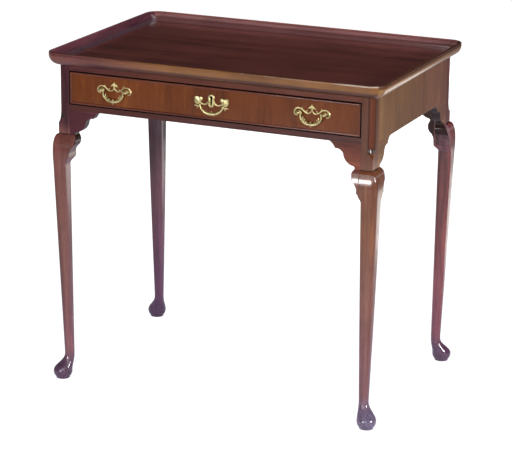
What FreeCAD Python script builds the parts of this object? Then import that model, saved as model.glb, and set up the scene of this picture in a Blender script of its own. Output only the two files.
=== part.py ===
import FreeCAD, Part
import math
import os
from FreeCAD import Vector

# A tray top tea table: a mahogany frame on four cabriole legs, with a moulded tray top and
# one drawer. Millimetres, +Z up, drawer side at -Y, origin on the floor below the middle.

# Overall sizes
HEIGHT = 710.0
FRAME_WIDTH = 696.0
FRAME_DEPTH = 453.0
FRAME_HEIGHT = 94.0

# Tray top: a board inside a mitred moulding with a thin lip
RIM_HEIGHT = 27.0
RIM_OVERHANG = 21.5
RIM_HEEL = 1.5
RIM_HEEL_CORNER = 9.5
RIM_TOE = 9.0
LIP_THICKNESS = 4.5
LIP_EDGE = 6.0
LIP_ROUND = 1.8
TRAY_DEPTH = 16.5

# Posts, rails and their joints
POST = 26.0
HOLLOW_RADIUS = 11.0
HOLLOW_STOP_DROP = 28.0
HOLLOW_RUN_OUT = 24.0
RAIL_THICKNESS = 20.0
TOP_RAIL_HEIGHT = 11.5
BOTTOM_RAIL_HEIGHT = 12.0
FRONT_RAIL_DEPTH = 40.0
TENON_THICKNESS = 7.0
TENON_SETBACK = 7.5
TENON_SHOULDER = 2.0
TENON_END_WALL = 0.5

# Cabriole legs
SHOULDER_DROP = 52.0
KNEE_DROP = 40.0
KNEE_PROJECTION = 13.0
EAR_HEIGHT = 48.0
SHANK_DROP = 64.0
SHANK_WIDTH = 32.0
SHANK_INSET = 3.8
SHANK_OUTER_ROUND = 10.5
SHANK_SIDE_ROUND = 2.5
ARRIS_ROUND = 0.2
ANKLE_HEIGHT = 55.0
ANKLE_DIAMETER = 20.5
ANKLE_INSET = 11.5
FOOT_DIAMETER = 40.0
FOOT_INSET = 0.5
FOOT_FULL_HEIGHT = 16.0
SOLE_DIAMETER = 29.0
SOLE_HEIGHT = 4.0

# Where sections are taken down a leg, as shares of each stretch, and how round a round one is
KNEE_SHARES = (1.0, 0.97, 0.87, 0.66, 0.35, 0.0)
EAR_STEP_SHARES = (0.0, 0.2, 0.4, 0.6, 0.8, 1.0)
SHANK_SHARES = (0.0, 0.05, 0.12, 0.2, 0.29, 0.39, 0.5, 0.62, 0.74, 0.83, 0.9, 0.95, 0.98)
FOOT_SHARES = (0.0, 0.12, 0.28, 0.42, 0.56, 0.7, 0.84, 1.0)
PAD_SHARES = (0.45, 0.8, 1.0)
NEAR_ROUND = 0.98
FOOT_FLARE = 1.5
LOFT_DEGREE = 3

# Shaped brackets under the rails, and the ears beside the knees
BRACKET_LENGTH = 66.6
BRACKET_THICKNESS = 18.0
BRACKET_CUSP_LENGTH = 54.3
BRACKET_CUSP_DROP = 14.2
BRACKET_TURN_LENGTH = 37.0
BRACKET_TURN_DROP = 23.0
BRACKET_TOE_LENGTH = 15.6
BRACKET_TOE_DROP = 46.3
BRACKET_HOLLOW_BOW = 0.08
BRACKET_OGEE_BOW = 0.17
EAR_TOP_LENGTH = 12.4
EAR_ROLL_LENGTH = 16.5
EAR_ROLL_HEIGHT = 26.0
EAR_NECK_LENGTH = 9.2
EAR_COVE_HEIGHT = 12.0
EAR_STEP_LENGTH = 3.1
EAR_STEP_HEIGHT = 8.0
EAR_CORNER_ROUND = 8.0

# Drawer
DRAWER_GAP = 2.0
RUNNING_GAP = 0.3
DRAWER_FRONT_THICKNESS = 20.0
DRAWER_BACK_GAP = 22.0
DRAWER_SIDE_THICKNESS = 9.0
DRAWER_SIDE_LOWER = 3.0
DRAWER_BACK_LOWER = 11.0
DRAWER_BOTTOM_THICKNESS = 6.0
DRAWER_BOTTOM_LIFT = 6.0
GROOVE_DEPTH = 4.0
BEAD_WIDTH = 4.5
BEAD_DEPTH = 9.0
BEAD_PROJECTION = 2.5
TAIL_LAP = 10.0
TAIL_TIP = 14.0
TAIL_ROOT = 10.0
FRONT_TAILS = 3
BACK_TAILS = 2

# Drawer runners, guides, kickers and stops, and glue blocks under the top
RUNNER_WIDTH = 30.0
GUIDE_HEIGHT = 24.0
STOP_WIDTH = 40.0
STOP_DEPTH = 12.0
STOP_HEIGHT = 4.0
STOP_SPACING = 300.0
BLOCK_SIZE = 14.0
BLOCK_LENGTH = 70.0
BLOCK_SPACING = 210.0

# Brass handles and escutcheon
MOUNTS_RISE = 3.75
HANDLE_INSET = 102.0
BOSS_SPACING = 55.0
PLATE_THICKNESS = 2.0
PLATE_BAND = 3.4
SCROLL_RADIUS = 8.2
SCROLL_START = -75.0
DIP_SPACING = 15.0
DIP_LEVEL = -0.5
DIP_TURN_RADIUS = 7.0
DIP_TURN_END = 190.0
COLLAR_RADIUS = 4.4
COLLAR_SPAN = 6.6
FINIAL_HEIGHT = 10.0
FINIAL_BEAD_GAP = 7.0
FINIAL_WIDTH = 19.0
STALK_WIDTH = 3.6
PIVOT_STANDOFF = 7.5
POST_HEAD_RADIUS = 3.6
POST_SHANK_RADIUS = 2.0
PIVOT_PIN_RADIUS = 1.3
PIVOT_CLEARANCE = 0.1
PIVOT_PIN_REACH = 2.6
BAIL_RADIUS = 1.9
BAIL_SIDE_GAP = 0.6
BAIL_NECK = 8.0
BAIL_SHOULDER_RADIUS = 9.0
BAIL_DROP = 21.5
BAIL_BELLY = 3.2
BAIL_LEAF_RADIUS = 2.6
BAIL_TIP_RADIUS = 2.3
NUT_RADIUS = 5.0
NUT_THICKNESS = 4.0
LOBE_SPACING = 58.0
LOBE_RADIUS = 8.0
SHIELD_HEAD_RADIUS = 6.2
SHIELD_FOOT_RADIUS = 7.2
SHIELD_HEAD_LEVEL = 9.4
SHIELD_FOOT_LEVEL = -5.5
ARM_RADIUS = 10.5
ARM_BEARINGS = (205.0, 335.0)
CRESCENT_HALF_WIDTH = 25.0
CRESCENT_TOP = -8.0
CRESCENT_BEAD_GAP = 3.5
CRESCENT_BELLY = 7.6
HOOK_RADIUS = 3.6
HOOK_BEARINGS = (215.0, 330.0)
KEYHOLE_RADIUS = 2.4
KEYHOLE_LEVEL = 8.6
KEYHOLE_SLOT = 3.2
KEYHOLE_FOOT = -4.4
PIN_RADIUS = 0.8
PIN_HEAD_RADIUS = 1.9
PIN_LENGTH = 11.0

# Iron lock let into the back of the drawer front
LOCK_WIDTH = 58.0
LOCK_HEIGHT = 40.0
LOCK_DEPTH = 10.0
LOCK_WALL = 1.5
BOLT_WIDTH = 16.0
BOLT_THICKNESS = 5.0
BOLT_HEIGHT = 20.0
BOLT_THROW = 6.0
BOLT_CLEARANCE = 0.3
MORTISE_CLEARANCE = 1.0
LOCK_SCREW_RADIUS = 1.5
LOCK_SCREW_HEAD = 3.0
LOCK_SCREW_LENGTH = 7.0
LOCK_SCREW_INSET = 6.0

# Levels and faces that follow from those sizes
UNDERSIDE = HEIGHT - RIM_HEIGHT
FIELD = HEIGHT - TRAY_DEPTH
FRAME_BOTTOM = UNDERSIDE - FRAME_HEIGHT
OPENING_BOTTOM = FRAME_BOTTOM + BOTTOM_RAIL_HEIGHT
OPENING_TOP = UNDERSIDE - TOP_RAIL_HEIGHT
SIDE_FACE = FRAME_WIDTH / 2
FRONT_FACE = -FRAME_DEPTH / 2
BACK_FACE = FRAME_DEPTH / 2
POST_INNER_X = SIDE_FACE - POST
POST_INNER_Y = BACK_FACE - POST
RAIL_INNER_X = SIDE_FACE - RAIL_THICKNESS
RAIL_INNER_Y = BACK_FACE - RAIL_THICKNESS
FRONT_RAIL_BACK = FRONT_FACE + FRONT_RAIL_DEPTH
TENON_LENGTH = POST - TENON_SETBACK - TENON_THICKNESS - TENON_END_WALL
SHOULDER = FRAME_BOTTOM - SHOULDER_DROP
KNEE = SHOULDER - KNEE_DROP
EAR_BOTTOM = SHOULDER - EAR_HEIGHT
SHANK_TOP = SHOULDER - SHANK_DROP
DRAWER_HALF_WIDTH = POST_INNER_X - DRAWER_GAP
DRAWER_LOW = OPENING_BOTTOM + DRAWER_GAP
DRAWER_HIGH = OPENING_TOP - DRAWER_GAP
DRAWER_FRONT_BACK = FRONT_FACE + DRAWER_FRONT_THICKNESS
DRAWER_END = RAIL_INNER_Y - DRAWER_BACK_GAP
SIDE_LOW = OPENING_BOTTOM + RUNNING_GAP
SIDE_HIGH = DRAWER_HIGH - DRAWER_SIDE_LOWER
BOTTOM_LOW = OPENING_BOTTOM + DRAWER_BOTTOM_LIFT
BOTTOM_HIGH = BOTTOM_LOW + DRAWER_BOTTOM_THICKNESS
BACK_HIGH = DRAWER_HIGH - DRAWER_BACK_LOWER
MOUNTS_LEVEL = (DRAWER_LOW + DRAWER_HIGH) / 2 + MOUNTS_RISE
FINIAL_TIP = DRAWER_HIGH - BEAD_WIDTH - FINIAL_BEAD_GAP - MOUNTS_LEVEL
FINIAL_BASE = FINIAL_TIP - FINIAL_HEIGHT
CRESCENT_BOTTOM = DRAWER_LOW + BEAD_WIDTH + CRESCENT_BEAD_GAP - MOUNTS_LEVEL
PIVOT_Y = FRONT_FACE - PIVOT_STANDOFF
PLATE_FRONT = FRONT_FACE - PLATE_THICKNESS

NODES = {}


def box(x0, x1, y0, y1, z0, z1):
    """A box between two corners."""
    return Part.makeBox(x1 - x0, y1 - y0, z1 - z0, Vector(x0, y0, z0))


def line(a, b):
    return Part.makeLine(a, b)


def arc(a, middle, b):
    return Part.Arc(a, middle, b).toShape()


def prism(edges, travel):
    """The solid that a closed outline sweeps along a straight line."""
    return Part.Face(Part.Wire(edges)).extrude(travel)


def fused(solids):
    """One solid from solids that touch or overlap, without seams."""
    return solids[0].multiFuse(solids[1:]).removeSplitter().Solids[0]


def without(shape, tools):
    """The solid that is left when the tools' solids are cut away."""
    solids = [solid for tool in tools for solid in tool.Solids]
    return shape.cut(solids).removeSplitter().Solids[0]


def mirrored(shape):
    return shape.mirror(Vector(0, 0, 0), Vector(1, 0, 0))


def moved(shape, x, y, z):
    copy = shape.copy()
    copy.translate(Vector(x, y, z))
    return copy


def turned(shape, quarters):
    """A copy turned about the table's upright axis by quarter turns."""
    copy = shape.copy()
    copy.rotate(Vector(0, 0, 0), Vector(0, 0, 1), 90 * quarters)
    return copy


def smooth_step(t):
    return t * t * (3 - 2 * t)


def between(a, b, t):
    return a + (b - a) * t


# Tray top


def rim_profile():
    """Section of the moulding: y runs inwards from the frame's face, z up."""
    inner_lip = RIM_OVERHANG - LIP_THICKNESS
    cove_run = RIM_TOE + inner_lip
    cove_radius = (cove_run ** 2 + TRAY_DEPTH ** 2) / (2 * TRAY_DEPTH)
    cove_half = math.asin(cove_run / cove_radius) / 2
    toe = Vector(0, RIM_TOE, FIELD)
    cove_middle = toe + Vector(0, -cove_radius * math.sin(cove_half),
                               cove_radius * (1 - math.cos(cove_half)))
    lip_inner = Vector(0, -inner_lip, HEIGHT)
    lip_outer = Vector(0, -RIM_OVERHANG + LIP_ROUND, HEIGHT)
    round_step = LIP_ROUND * (1 - math.sqrt(0.5))
    round_middle = Vector(0, -RIM_OVERHANG + round_step, HEIGHT - round_step)
    edge_top = Vector(0, -RIM_OVERHANG, HEIGHT - LIP_ROUND)
    edge_bottom = Vector(0, -RIM_OVERHANG, HEIGHT - LIP_EDGE)
    ovolo_run = RIM_OVERHANG - RIM_HEEL
    ovolo_drop = RIM_HEIGHT - LIP_EDGE
    ovolo_radius = (ovolo_run ** 2 + ovolo_drop ** 2) / (2 * ovolo_run)
    ovolo_half = math.asin(ovolo_drop / ovolo_radius) / 2
    ovolo_middle = edge_bottom + Vector(0, ovolo_radius * (1 - math.cos(ovolo_half)),
                                        -ovolo_radius * math.sin(ovolo_half))
    heel = Vector(0, -RIM_HEEL, UNDERSIDE)
    corner = Vector(0, RIM_TOE, UNDERSIDE)
    return Part.Face(Part.Wire([
        arc(toe, cove_middle, lip_inner),
        line(lip_inner, lip_outer),
        arc(lip_outer, round_middle, edge_top),
        line(edge_top, edge_bottom),
        arc(edge_bottom, ovolo_middle, heel),
        line(heel, corner),
        line(corner, toe),
    ]))


def rim_side(half_length):
    """One moulding along X with its outer side at -Y, mitred and rounded at both ends."""
    pivot = RIM_HEEL_CORNER - RIM_HEEL
    profile = rim_profile()
    straight = moved(profile, -half_length, 0, 0).extrude(Vector(2 * half_length, 0, 0))
    plan = [(-half_length, -2 * RIM_OVERHANG), (half_length, -2 * RIM_OVERHANG),
            (half_length, pivot), (half_length - RIM_TOE, pivot + RIM_TOE),
            (-half_length + RIM_TOE, pivot + RIM_TOE), (-half_length, pivot)]
    corners = [Vector(x, y, UNDERSIDE) for x, y in plan]
    mitres = Part.Face(Part.makePolygon(corners + corners[:1])).extrude(Vector(0, 0, RIM_HEIGHT))
    outside = Part.Face(Part.makePolygon([
        Vector(0, -2 * RIM_OVERHANG, UNDERSIDE), Vector(0, pivot, UNDERSIDE),
        Vector(0, pivot, HEIGHT), Vector(0, -2 * RIM_OVERHANG, HEIGHT),
        Vector(0, -2 * RIM_OVERHANG, UNDERSIDE)]))
    outer_profile = profile.common(outside).Faces[0]
    ends = []
    for end in (-1, 1):
        axis = Vector(end * half_length, pivot, 0)
        start = moved(outer_profile, end * half_length, 0, 0)
        ends.append(start.revolve(axis, Vector(0, 0, 1), 45 * end))
    return fused([straight.common(mitres)] + ends)


def build_top():
    setback = RIM_HEEL_CORNER - RIM_HEEL
    sides = ("front", "right", "back", "left")
    for quarters, name in enumerate(sides):
        along = SIDE_FACE if quarters % 2 == 0 else BACK_FACE
        out = BACK_FACE if quarters % 2 == 0 else SIDE_FACE
        NODES["rim_" + name] = turned(moved(rim_side(along - setback), 0, -out, 0), quarters)
    board = box(-SIDE_FACE + RIM_TOE, SIDE_FACE - RIM_TOE,
                FRONT_FACE + RIM_TOE, BACK_FACE - RIM_TOE, UNDERSIDE, FIELD)
    toe_corner = setback - RIM_TOE
    if toe_corner > 0:
        # A toe that turns the corner in a curve takes the board's corners with it
        upright = [edge for edge in board.Edges if edge.BoundBox.ZLength > 0]
        board = board.makeFillet(toe_corner, upright)
    NODES["top_board"] = board


# Legs


def leg_section(z, outer, inner, outer_round, side_round, inner_round):
    """Rounded square between two offsets from the frame's corner, outwards positive."""
    corners = [(outer, outer, outer_round), (inner, outer, side_round),
               (inner, inner, inner_round), (outer, inner, side_round)]
    ways = [(0, 1), (-1, 0), (0, -1), (1, 0)]
    edges = []
    start = None
    for (x, y, r), into, out in zip(corners, ways, ways[1:] + ways[:1]):
        corner = Vector(x, y, z)
        first = corner - Vector(into[0], into[1], 0) * r
        last = corner + Vector(out[0], out[1], 0) * r
        centre = first + Vector(out[0], out[1], 0) * r
        middle = centre + (corner - centre) * math.sqrt(0.5)
        if start:
            edges.append(line(start, first))
        edges.append(arc(first, middle, last))
        start = last
    edges.append(line(start, edges[0].Vertexes[0].Point))
    return Part.Wire(edges)


def knee_swell(z):
    """How far the knee stands out of the frame's face at a level above its fullest."""
    return KNEE_PROJECTION * math.sqrt(1 - ((z - KNEE) / KNEE_DROP) ** 2)


def ear_step_section(share):
    """A section between the ears' lower ends and the shank, where the inner sides step in."""
    z = between(EAR_BOTTOM, SHANK_TOP, share)
    fall = (KNEE - z) / (KNEE - SHANK_TOP)
    step = smooth_step(share)
    outer = between(KNEE_PROJECTION, SHANK_WIDTH / 2 - SHANK_INSET, fall ** 2)
    inner = between(-POST, -SHANK_WIDTH / 2 - SHANK_INSET, step)
    side_round = between(ARRIS_ROUND, SHANK_SIDE_ROUND, step)
    inner_round = between(ARRIS_ROUND, SHANK_OUTER_ROUND, step)
    return leg_section(z, outer, inner, SHANK_OUTER_ROUND, side_round, inner_round)


def knee_sections():
    """The knee swells from the shoulder down, while its inner sides stay flat for the ears."""
    sections = []
    for share in KNEE_SHARES:
        z = KNEE + KNEE_DROP * share
        outer_round = between(SHANK_OUTER_ROUND, ARRIS_ROUND, share ** 2)
        sections.append(leg_section(z, knee_swell(z), -POST, outer_round, ARRIS_ROUND, ARRIS_ROUND))
    return sections + [ear_step_section(0)]


def round_section(z, diameter, inset):
    """A section that is round but for a hair of flat on each side."""
    half = diameter / 2
    near_round = NEAR_ROUND * half
    return leg_section(z, half - inset, -half - inset, near_round, near_round, near_round)


def shank_sections():
    sections = []
    ankle_round = NEAR_ROUND * ANKLE_DIAMETER / 2
    for share in SHANK_SHARES:
        z = between(SHANK_TOP, ANKLE_HEIGHT, share)
        half = between(SHANK_WIDTH, ANKLE_DIAMETER, share) / 2
        inset = between(SHANK_INSET, ANKLE_INSET, share)
        outer_round = between(SHANK_OUTER_ROUND, ankle_round, share)
        side_round = between(SHANK_SIDE_ROUND, ankle_round, share ** 1.5)
        sections.append(leg_section(z, half - inset, -half - inset, outer_round, side_round, outer_round))
    return sections


def foot_sections():
    sections = []
    for share in FOOT_SHARES:
        step = smooth_step(share) ** FOOT_FLARE
        sections.append(round_section(between(ANKLE_HEIGHT, FOOT_FULL_HEIGHT, share),
                                      between(ANKLE_DIAMETER, FOOT_DIAMETER, step),
                                      between(ANKLE_INSET, FOOT_INSET, step)))
    for share in PAD_SHARES:
        swell = math.sqrt(1 - share ** 2)
        sections.append(round_section(between(FOOT_FULL_HEIGHT, SOLE_HEIGHT, share),
                                      between(SOLE_DIAMETER, FOOT_DIAMETER, swell), FOOT_INSET))
    return sections


def hollow_cutter():
    """What the hollow down a post's corner takes away: a round bar ending in a long point."""
    stop = FRAME_BOTTOM - HOLLOW_STOP_DROP
    centre = Vector(0, 0, stop + HOLLOW_RUN_OUT)
    tip = Vector(0, 0, stop)
    side = centre + Vector(HOLLOW_RADIUS, 0, 0)
    rise = Vector(0, 0, UNDERSIDE - centre.z)
    curve = Part.Ellipse(tip, side, centre)
    run_out = Part.Arc(curve, 0, math.pi / 2).toShape()
    half = Part.Face(Part.Wire([run_out, line(side, side + rise), line(side + rise, centre + rise),
                                line(centre + rise, tip)]))
    return half.revolve(Vector(0, 0, 0), Vector(0, 0, 1), 360)


def leg():
    """One leg, post and all, with the frame's outer corner at x = y = 0, outwards positive."""
    knee = Part.makeLoft(knee_sections(), True, False, False, LOFT_DEGREE)
    step_sections = [ear_step_section(share) for share in EAR_STEP_SHARES]
    ear_step = Part.makeLoft(step_sections, True, False, False, LOFT_DEGREE)
    shank = Part.makeLoft(shank_sections() + foot_sections(), True, False, False, LOFT_DEGREE)
    sole = Part.Face(round_section(0, SOLE_DIAMETER, FOOT_INSET)).extrude(Vector(0, 0, SOLE_HEIGHT))
    post = box(-POST, 0, -POST, 0, SHOULDER, UNDERSIDE)
    return fused([sole, shank, ear_step, knee, without(post, [hollow_cutter()])])


def build_legs(rails):
    blank = leg()
    places = (("back_right", 0, SIDE_FACE, BACK_FACE), ("back_left", 1, -SIDE_FACE, BACK_FACE),
              ("front_left", 2, -SIDE_FACE, FRONT_FACE), ("front_right", 3, SIDE_FACE, FRONT_FACE))
    for name, quarters, x, y in places:
        NODES["leg_" + name] = without(moved(turned(blank, quarters), x, y, 0), rails)


# Rails


def rail(half_length, z0, z1, depth):
    """A rail along X, its outer face at y = 0 and the rest at +y, with a tenon at each end."""
    body = box(-half_length, half_length, 0, depth, z0, z1)
    tenon = box(-half_length - TENON_LENGTH, half_length + TENON_LENGTH, TENON_SETBACK,
                TENON_SETBACK + TENON_THICKNESS, z0 + TENON_SHOULDER, z1 - TENON_SHOULDER)
    return fused([body, tenon])


def build_rails():
    long_rail = rail(POST_INNER_X, FRAME_BOTTOM, UNDERSIDE, RAIL_THICKNESS)
    short_rail = rail(POST_INNER_Y, FRAME_BOTTOM, UNDERSIDE, RAIL_THICKNESS)
    NODES["back_rail"] = turned(moved(long_rail, 0, FRONT_FACE, 0), 2)
    NODES["right_rail"] = turned(moved(short_rail, 0, -SIDE_FACE, 0), 1)
    NODES["left_rail"] = turned(moved(short_rail, 0, -SIDE_FACE, 0), 3)
    top_rail = rail(POST_INNER_X, OPENING_TOP, UNDERSIDE, FRONT_RAIL_DEPTH)
    bottom_rail = rail(POST_INNER_X, FRAME_BOTTOM, OPENING_BOTTOM, FRONT_RAIL_DEPTH)
    NODES["front_top_rail"] = without(moved(top_rail, 0, FRONT_FACE, 0), [bolt_mortise()])
    NODES["front_bottom_rail"] = moved(bottom_rail, 0, FRONT_FACE, 0)
    names = ("back_rail", "right_rail", "left_rail", "front_top_rail", "front_bottom_rail")
    return [NODES[name] for name in names]


# Brackets and ears: drawn with x from the post along the rail, y inwards from the frame's face


def bracket():
    """Shaped bracket under a rail: a hollow to a cusp, then an ogee to a fillet above the ear."""
    def at(length, drop):
        return Vector(length, 0, FRAME_BOTTOM - drop)

    top_end = at(BRACKET_LENGTH, 0)
    cusp = at(BRACKET_CUSP_LENGTH, BRACKET_CUSP_DROP)
    turn = at(BRACKET_TURN_LENGTH, BRACKET_TURN_DROP)
    toe = at(BRACKET_TOE_LENGTH, BRACKET_TOE_DROP)
    fillet_top = at(EAR_TOP_LENGTH, BRACKET_TOE_DROP + (BRACKET_TOE_LENGTH - EAR_TOP_LENGTH) / 2)
    fillet_bottom = at(EAR_TOP_LENGTH, SHOULDER_DROP)

    def bowed(a, b, share):
        """Middle point of an arc that bows towards the rail, or away where share is negative."""
        middle = (a + b) / 2
        across = Vector(-(b - a).z, 0, (b - a).x)
        return middle - across * share

    edges = [
        line(at(0, 0), top_end),
        arc(top_end, bowed(top_end, cusp, BRACKET_HOLLOW_BOW), cusp),
        arc(cusp, bowed(cusp, turn, BRACKET_OGEE_BOW), turn),
        arc(turn, bowed(turn, toe, -BRACKET_OGEE_BOW), toe),
        line(toe, fillet_top),
        line(fillet_top, fillet_bottom),
        line(fillet_bottom, at(0, SHOULDER_DROP)),
        line(at(0, SHOULDER_DROP), at(0, 0)),
    ]
    return prism(edges, Vector(0, BRACKET_THICKNESS, 0))


def ear():
    """The block beside a knee: a roll, a cove and a step, swelling out as the knee does."""
    proud = 2 * KNEE_PROJECTION
    roll_bottom = SHOULDER - EAR_ROLL_HEIGHT
    cove_bottom = roll_bottom - EAR_COVE_HEIGHT
    step_bottom = cove_bottom - EAR_STEP_HEIGHT
    a = Vector(0, -proud, SHOULDER)
    b = Vector(EAR_TOP_LENGTH, -proud, SHOULDER)
    roll = Vector(EAR_ROLL_LENGTH, -proud, SHOULDER - EAR_ROLL_HEIGHT / 2)
    c = Vector(EAR_NECK_LENGTH, -proud, roll_bottom)
    d = Vector(EAR_STEP_LENGTH, -proud, cove_bottom)
    cove = (c + d) / 2 + Vector(-(EAR_NECK_LENGTH - EAR_STEP_LENGTH) / 6, 0, 0)
    e = Vector(EAR_STEP_LENGTH, -proud, step_bottom)
    f = Vector(0, -proud, EAR_BOTTOM)
    outline = prism([line(a, b), arc(b, roll, c), arc(c, cove, d), line(d, e), line(e, f), line(f, a)],
                    Vector(0, proud + BRACKET_THICKNESS, 0))
    swell = Part.Ellipse(Vector(0, 0, SHOULDER), Vector(0, -KNEE_PROJECTION, KNEE), Vector(0, 0, KNEE))
    quarter = Part.Arc(swell, 0, math.pi / 2).toShape()
    knee_front = Vector(0, -KNEE_PROJECTION, KNEE)
    low_front = Vector(0, -KNEE_PROJECTION, EAR_BOTTOM)
    low_back = Vector(0, BRACKET_THICKNESS, EAR_BOTTOM)
    high_back = Vector(0, BRACKET_THICKNESS, SHOULDER)
    front = prism([quarter, line(knee_front, low_front), line(low_front, low_back),
                   line(low_back, high_back), line(high_back, Vector(0, 0, SHOULDER))],
                  Vector(EAR_ROLL_LENGTH, 0, 0))
    bend_start = low_front + Vector(EAR_ROLL_LENGTH - EAR_CORNER_ROUND, 0, 0)
    bend_end = low_front + Vector(EAR_ROLL_LENGTH, EAR_CORNER_ROUND, 0)
    bend_step = EAR_CORNER_ROUND * (1 - math.sqrt(0.5))
    bend = low_front + Vector(EAR_ROLL_LENGTH - bend_step, bend_step, 0)
    end_back = low_back + Vector(EAR_ROLL_LENGTH, 0, 0)
    plan = prism([line(low_front, bend_start), arc(bend_start, bend, bend_end), line(bend_end, end_back),
                  line(end_back, low_back), line(low_back, low_front)], Vector(0, 0, EAR_HEIGHT))
    return outline.common(front).common(plan).Solids[0]


def build_brackets():
    bracket_blank = bracket()
    ear_blank = ear()
    sides = (("front", "left", "right"), ("right", "front", "back"),
             ("back", "right", "left"), ("left", "back", "front"))
    for quarters, (side, start, end) in enumerate(sides):
        along = POST_INNER_X if quarters % 2 == 0 else POST_INNER_Y
        out = BACK_FACE if quarters % 2 == 0 else SIDE_FACE
        for kind, blank in (("bracket", bracket_blank), ("ear", ear_blank)):
            first = moved(blank, -along, -out, 0)
            NODES[f"{side}_{kind}_{start}"] = turned(first, quarters)
            NODES[f"{side}_{kind}_{end}"] = turned(mirrored(first), quarters)


# Drawer way inside the frame


def build_drawer_way():
    guide_thickness = RAIL_INNER_X - POST_INNER_X
    for name, turn_over in (("right", False), ("left", True)):
        runner = box(RAIL_INNER_X - RUNNER_WIDTH, RAIL_INNER_X, FRONT_RAIL_BACK, POST_INNER_Y,
                     FRAME_BOTTOM, OPENING_BOTTOM)
        kicker = box(RAIL_INNER_X - RUNNER_WIDTH, RAIL_INNER_X, FRONT_RAIL_BACK, POST_INNER_Y,
                     OPENING_TOP, UNDERSIDE)
        guide = box(RAIL_INNER_X - guide_thickness, RAIL_INNER_X, FRONT_RAIL_BACK, POST_INNER_Y,
                    OPENING_BOTTOM, OPENING_BOTTOM + GUIDE_HEIGHT)
        for kind, solid in (("runner", runner), ("kicker", kicker), ("guide", guide)):
            NODES[f"{name}_{kind}"] = mirrored(solid) if turn_over else solid
    stop = box(-STOP_WIDTH / 2, STOP_WIDTH / 2, DRAWER_FRONT_BACK, DRAWER_FRONT_BACK + STOP_DEPTH,
               OPENING_BOTTOM, OPENING_BOTTOM + STOP_HEIGHT)
    stops = [moved(stop, side * STOP_SPACING / 2, 0, 0) for side in (-1, 1)]
    NODES["drawer_stops"] = Part.makeCompound(stops)
    block = box(-BLOCK_LENGTH / 2, BLOCK_LENGTH / 2, RAIL_INNER_Y - BLOCK_SIZE, RAIL_INNER_Y,
                UNDERSIDE - BLOCK_SIZE, UNDERSIDE)
    blocks = [moved(block, step * BLOCK_SPACING, 0, 0) for step in (-1, 0, 1)]
    NODES["glue_blocks"] = Part.makeCompound(blocks)


# Drawer


def tails(count, y_root, y_tip, z0, z1):
    """Dovetails on the right-hand drawer side, widening from root to tip."""
    pitch = (z1 - z0) / count
    found = []
    for number in range(count):
        z = z0 + pitch * (number + 0.5)
        x = DRAWER_HALF_WIDTH - DRAWER_SIDE_THICKNESS
        points = [Vector(x, y_root, z - TAIL_ROOT / 2), Vector(x, y_tip, z - TAIL_TIP / 2),
                  Vector(x, y_tip, z + TAIL_TIP / 2), Vector(x, y_root, z + TAIL_ROOT / 2)]
        face = Part.Face(Part.makePolygon(points + points[:1]))
        found.append(face.extrude(Vector(DRAWER_SIDE_THICKNESS, 0, 0)))
    return found


def drawer_side(bottom):
    """Right-hand side with its tails and the groove for the bottom."""
    inner = DRAWER_HALF_WIDTH - DRAWER_SIDE_THICKNESS
    back_inner = DRAWER_END - DRAWER_SIDE_THICKNESS
    body = box(inner, DRAWER_HALF_WIDTH, DRAWER_FRONT_BACK, back_inner, SIDE_LOW, SIDE_HIGH)
    heel = box(inner, DRAWER_HALF_WIDTH, back_inner, DRAWER_END, SIDE_LOW, BOTTOM_HIGH)
    front = tails(FRONT_TAILS, DRAWER_FRONT_BACK, DRAWER_FRONT_BACK - TAIL_LAP, BOTTOM_HIGH, SIDE_HIGH)
    back = tails(BACK_TAILS, back_inner, DRAWER_END, BOTTOM_HIGH, BACK_HIGH)
    return without(fused([body, heel] + front + back), [bottom])


def bead_frame_piece(half_length):
    """One bead along X, outer edge at z = 0, running to a mitre at each end."""
    nose = BEAD_WIDTH / 2
    low_back = Vector(0, BEAD_DEPTH, 0)
    low_front = Vector(0, nose - BEAD_PROJECTION, 0)
    tip = Vector(0, -BEAD_PROJECTION, nose)
    width = Vector(0, 0, BEAD_WIDTH)
    section = [line(low_back, low_front), arc(low_front, tip, low_front + width),
               line(low_front + width, low_back + width), line(low_back + width, low_back)]
    strip = moved(prism(section, Vector(2 * half_length, 0, 0)), -half_length, 0, 0)
    outline = [Vector(-half_length, -2 * BEAD_DEPTH, 0), Vector(half_length, -2 * BEAD_DEPTH, 0),
               Vector(half_length - BEAD_WIDTH, -2 * BEAD_DEPTH, BEAD_WIDTH),
               Vector(-half_length + BEAD_WIDTH, -2 * BEAD_DEPTH, BEAD_WIDTH)]
    mitres = Part.Face(Part.makePolygon(outline + outline[:1])).extrude(Vector(0, 4 * BEAD_DEPTH, 0))
    return strip.common(mitres)


def build_beads():
    middle = (DRAWER_LOW + DRAWER_HIGH) / 2
    half_height = (DRAWER_HIGH - DRAWER_LOW) / 2
    beads = []
    for quarters, name in enumerate(("bottom", "left", "top", "right")):
        half_length = DRAWER_HALF_WIDTH if quarters % 2 == 0 else half_height
        out = half_height if quarters % 2 == 0 else DRAWER_HALF_WIDTH
        bead = moved(bead_frame_piece(half_length), 0, FRONT_FACE, -out)
        bead.rotate(Vector(0, 0, 0), Vector(0, 1, 0), 90 * quarters)
        bead.translate(Vector(0, 0, middle))
        NODES["bead_" + name] = bead
        beads.append(bead)
    return beads


def keyhole(y0, y1):
    """Keyhole through from y0 to y1: a round head over a narrower slot."""
    head = Part.makeCylinder(KEYHOLE_RADIUS, y1 - y0, Vector(0, y0, MOUNTS_LEVEL + KEYHOLE_LEVEL),
                             Vector(0, 1, 0))
    slot = box(-KEYHOLE_SLOT / 2, KEYHOLE_SLOT / 2, y0, y1,
               MOUNTS_LEVEL + KEYHOLE_FOOT, MOUNTS_LEVEL + KEYHOLE_LEVEL)
    return fused([head, slot])


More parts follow.
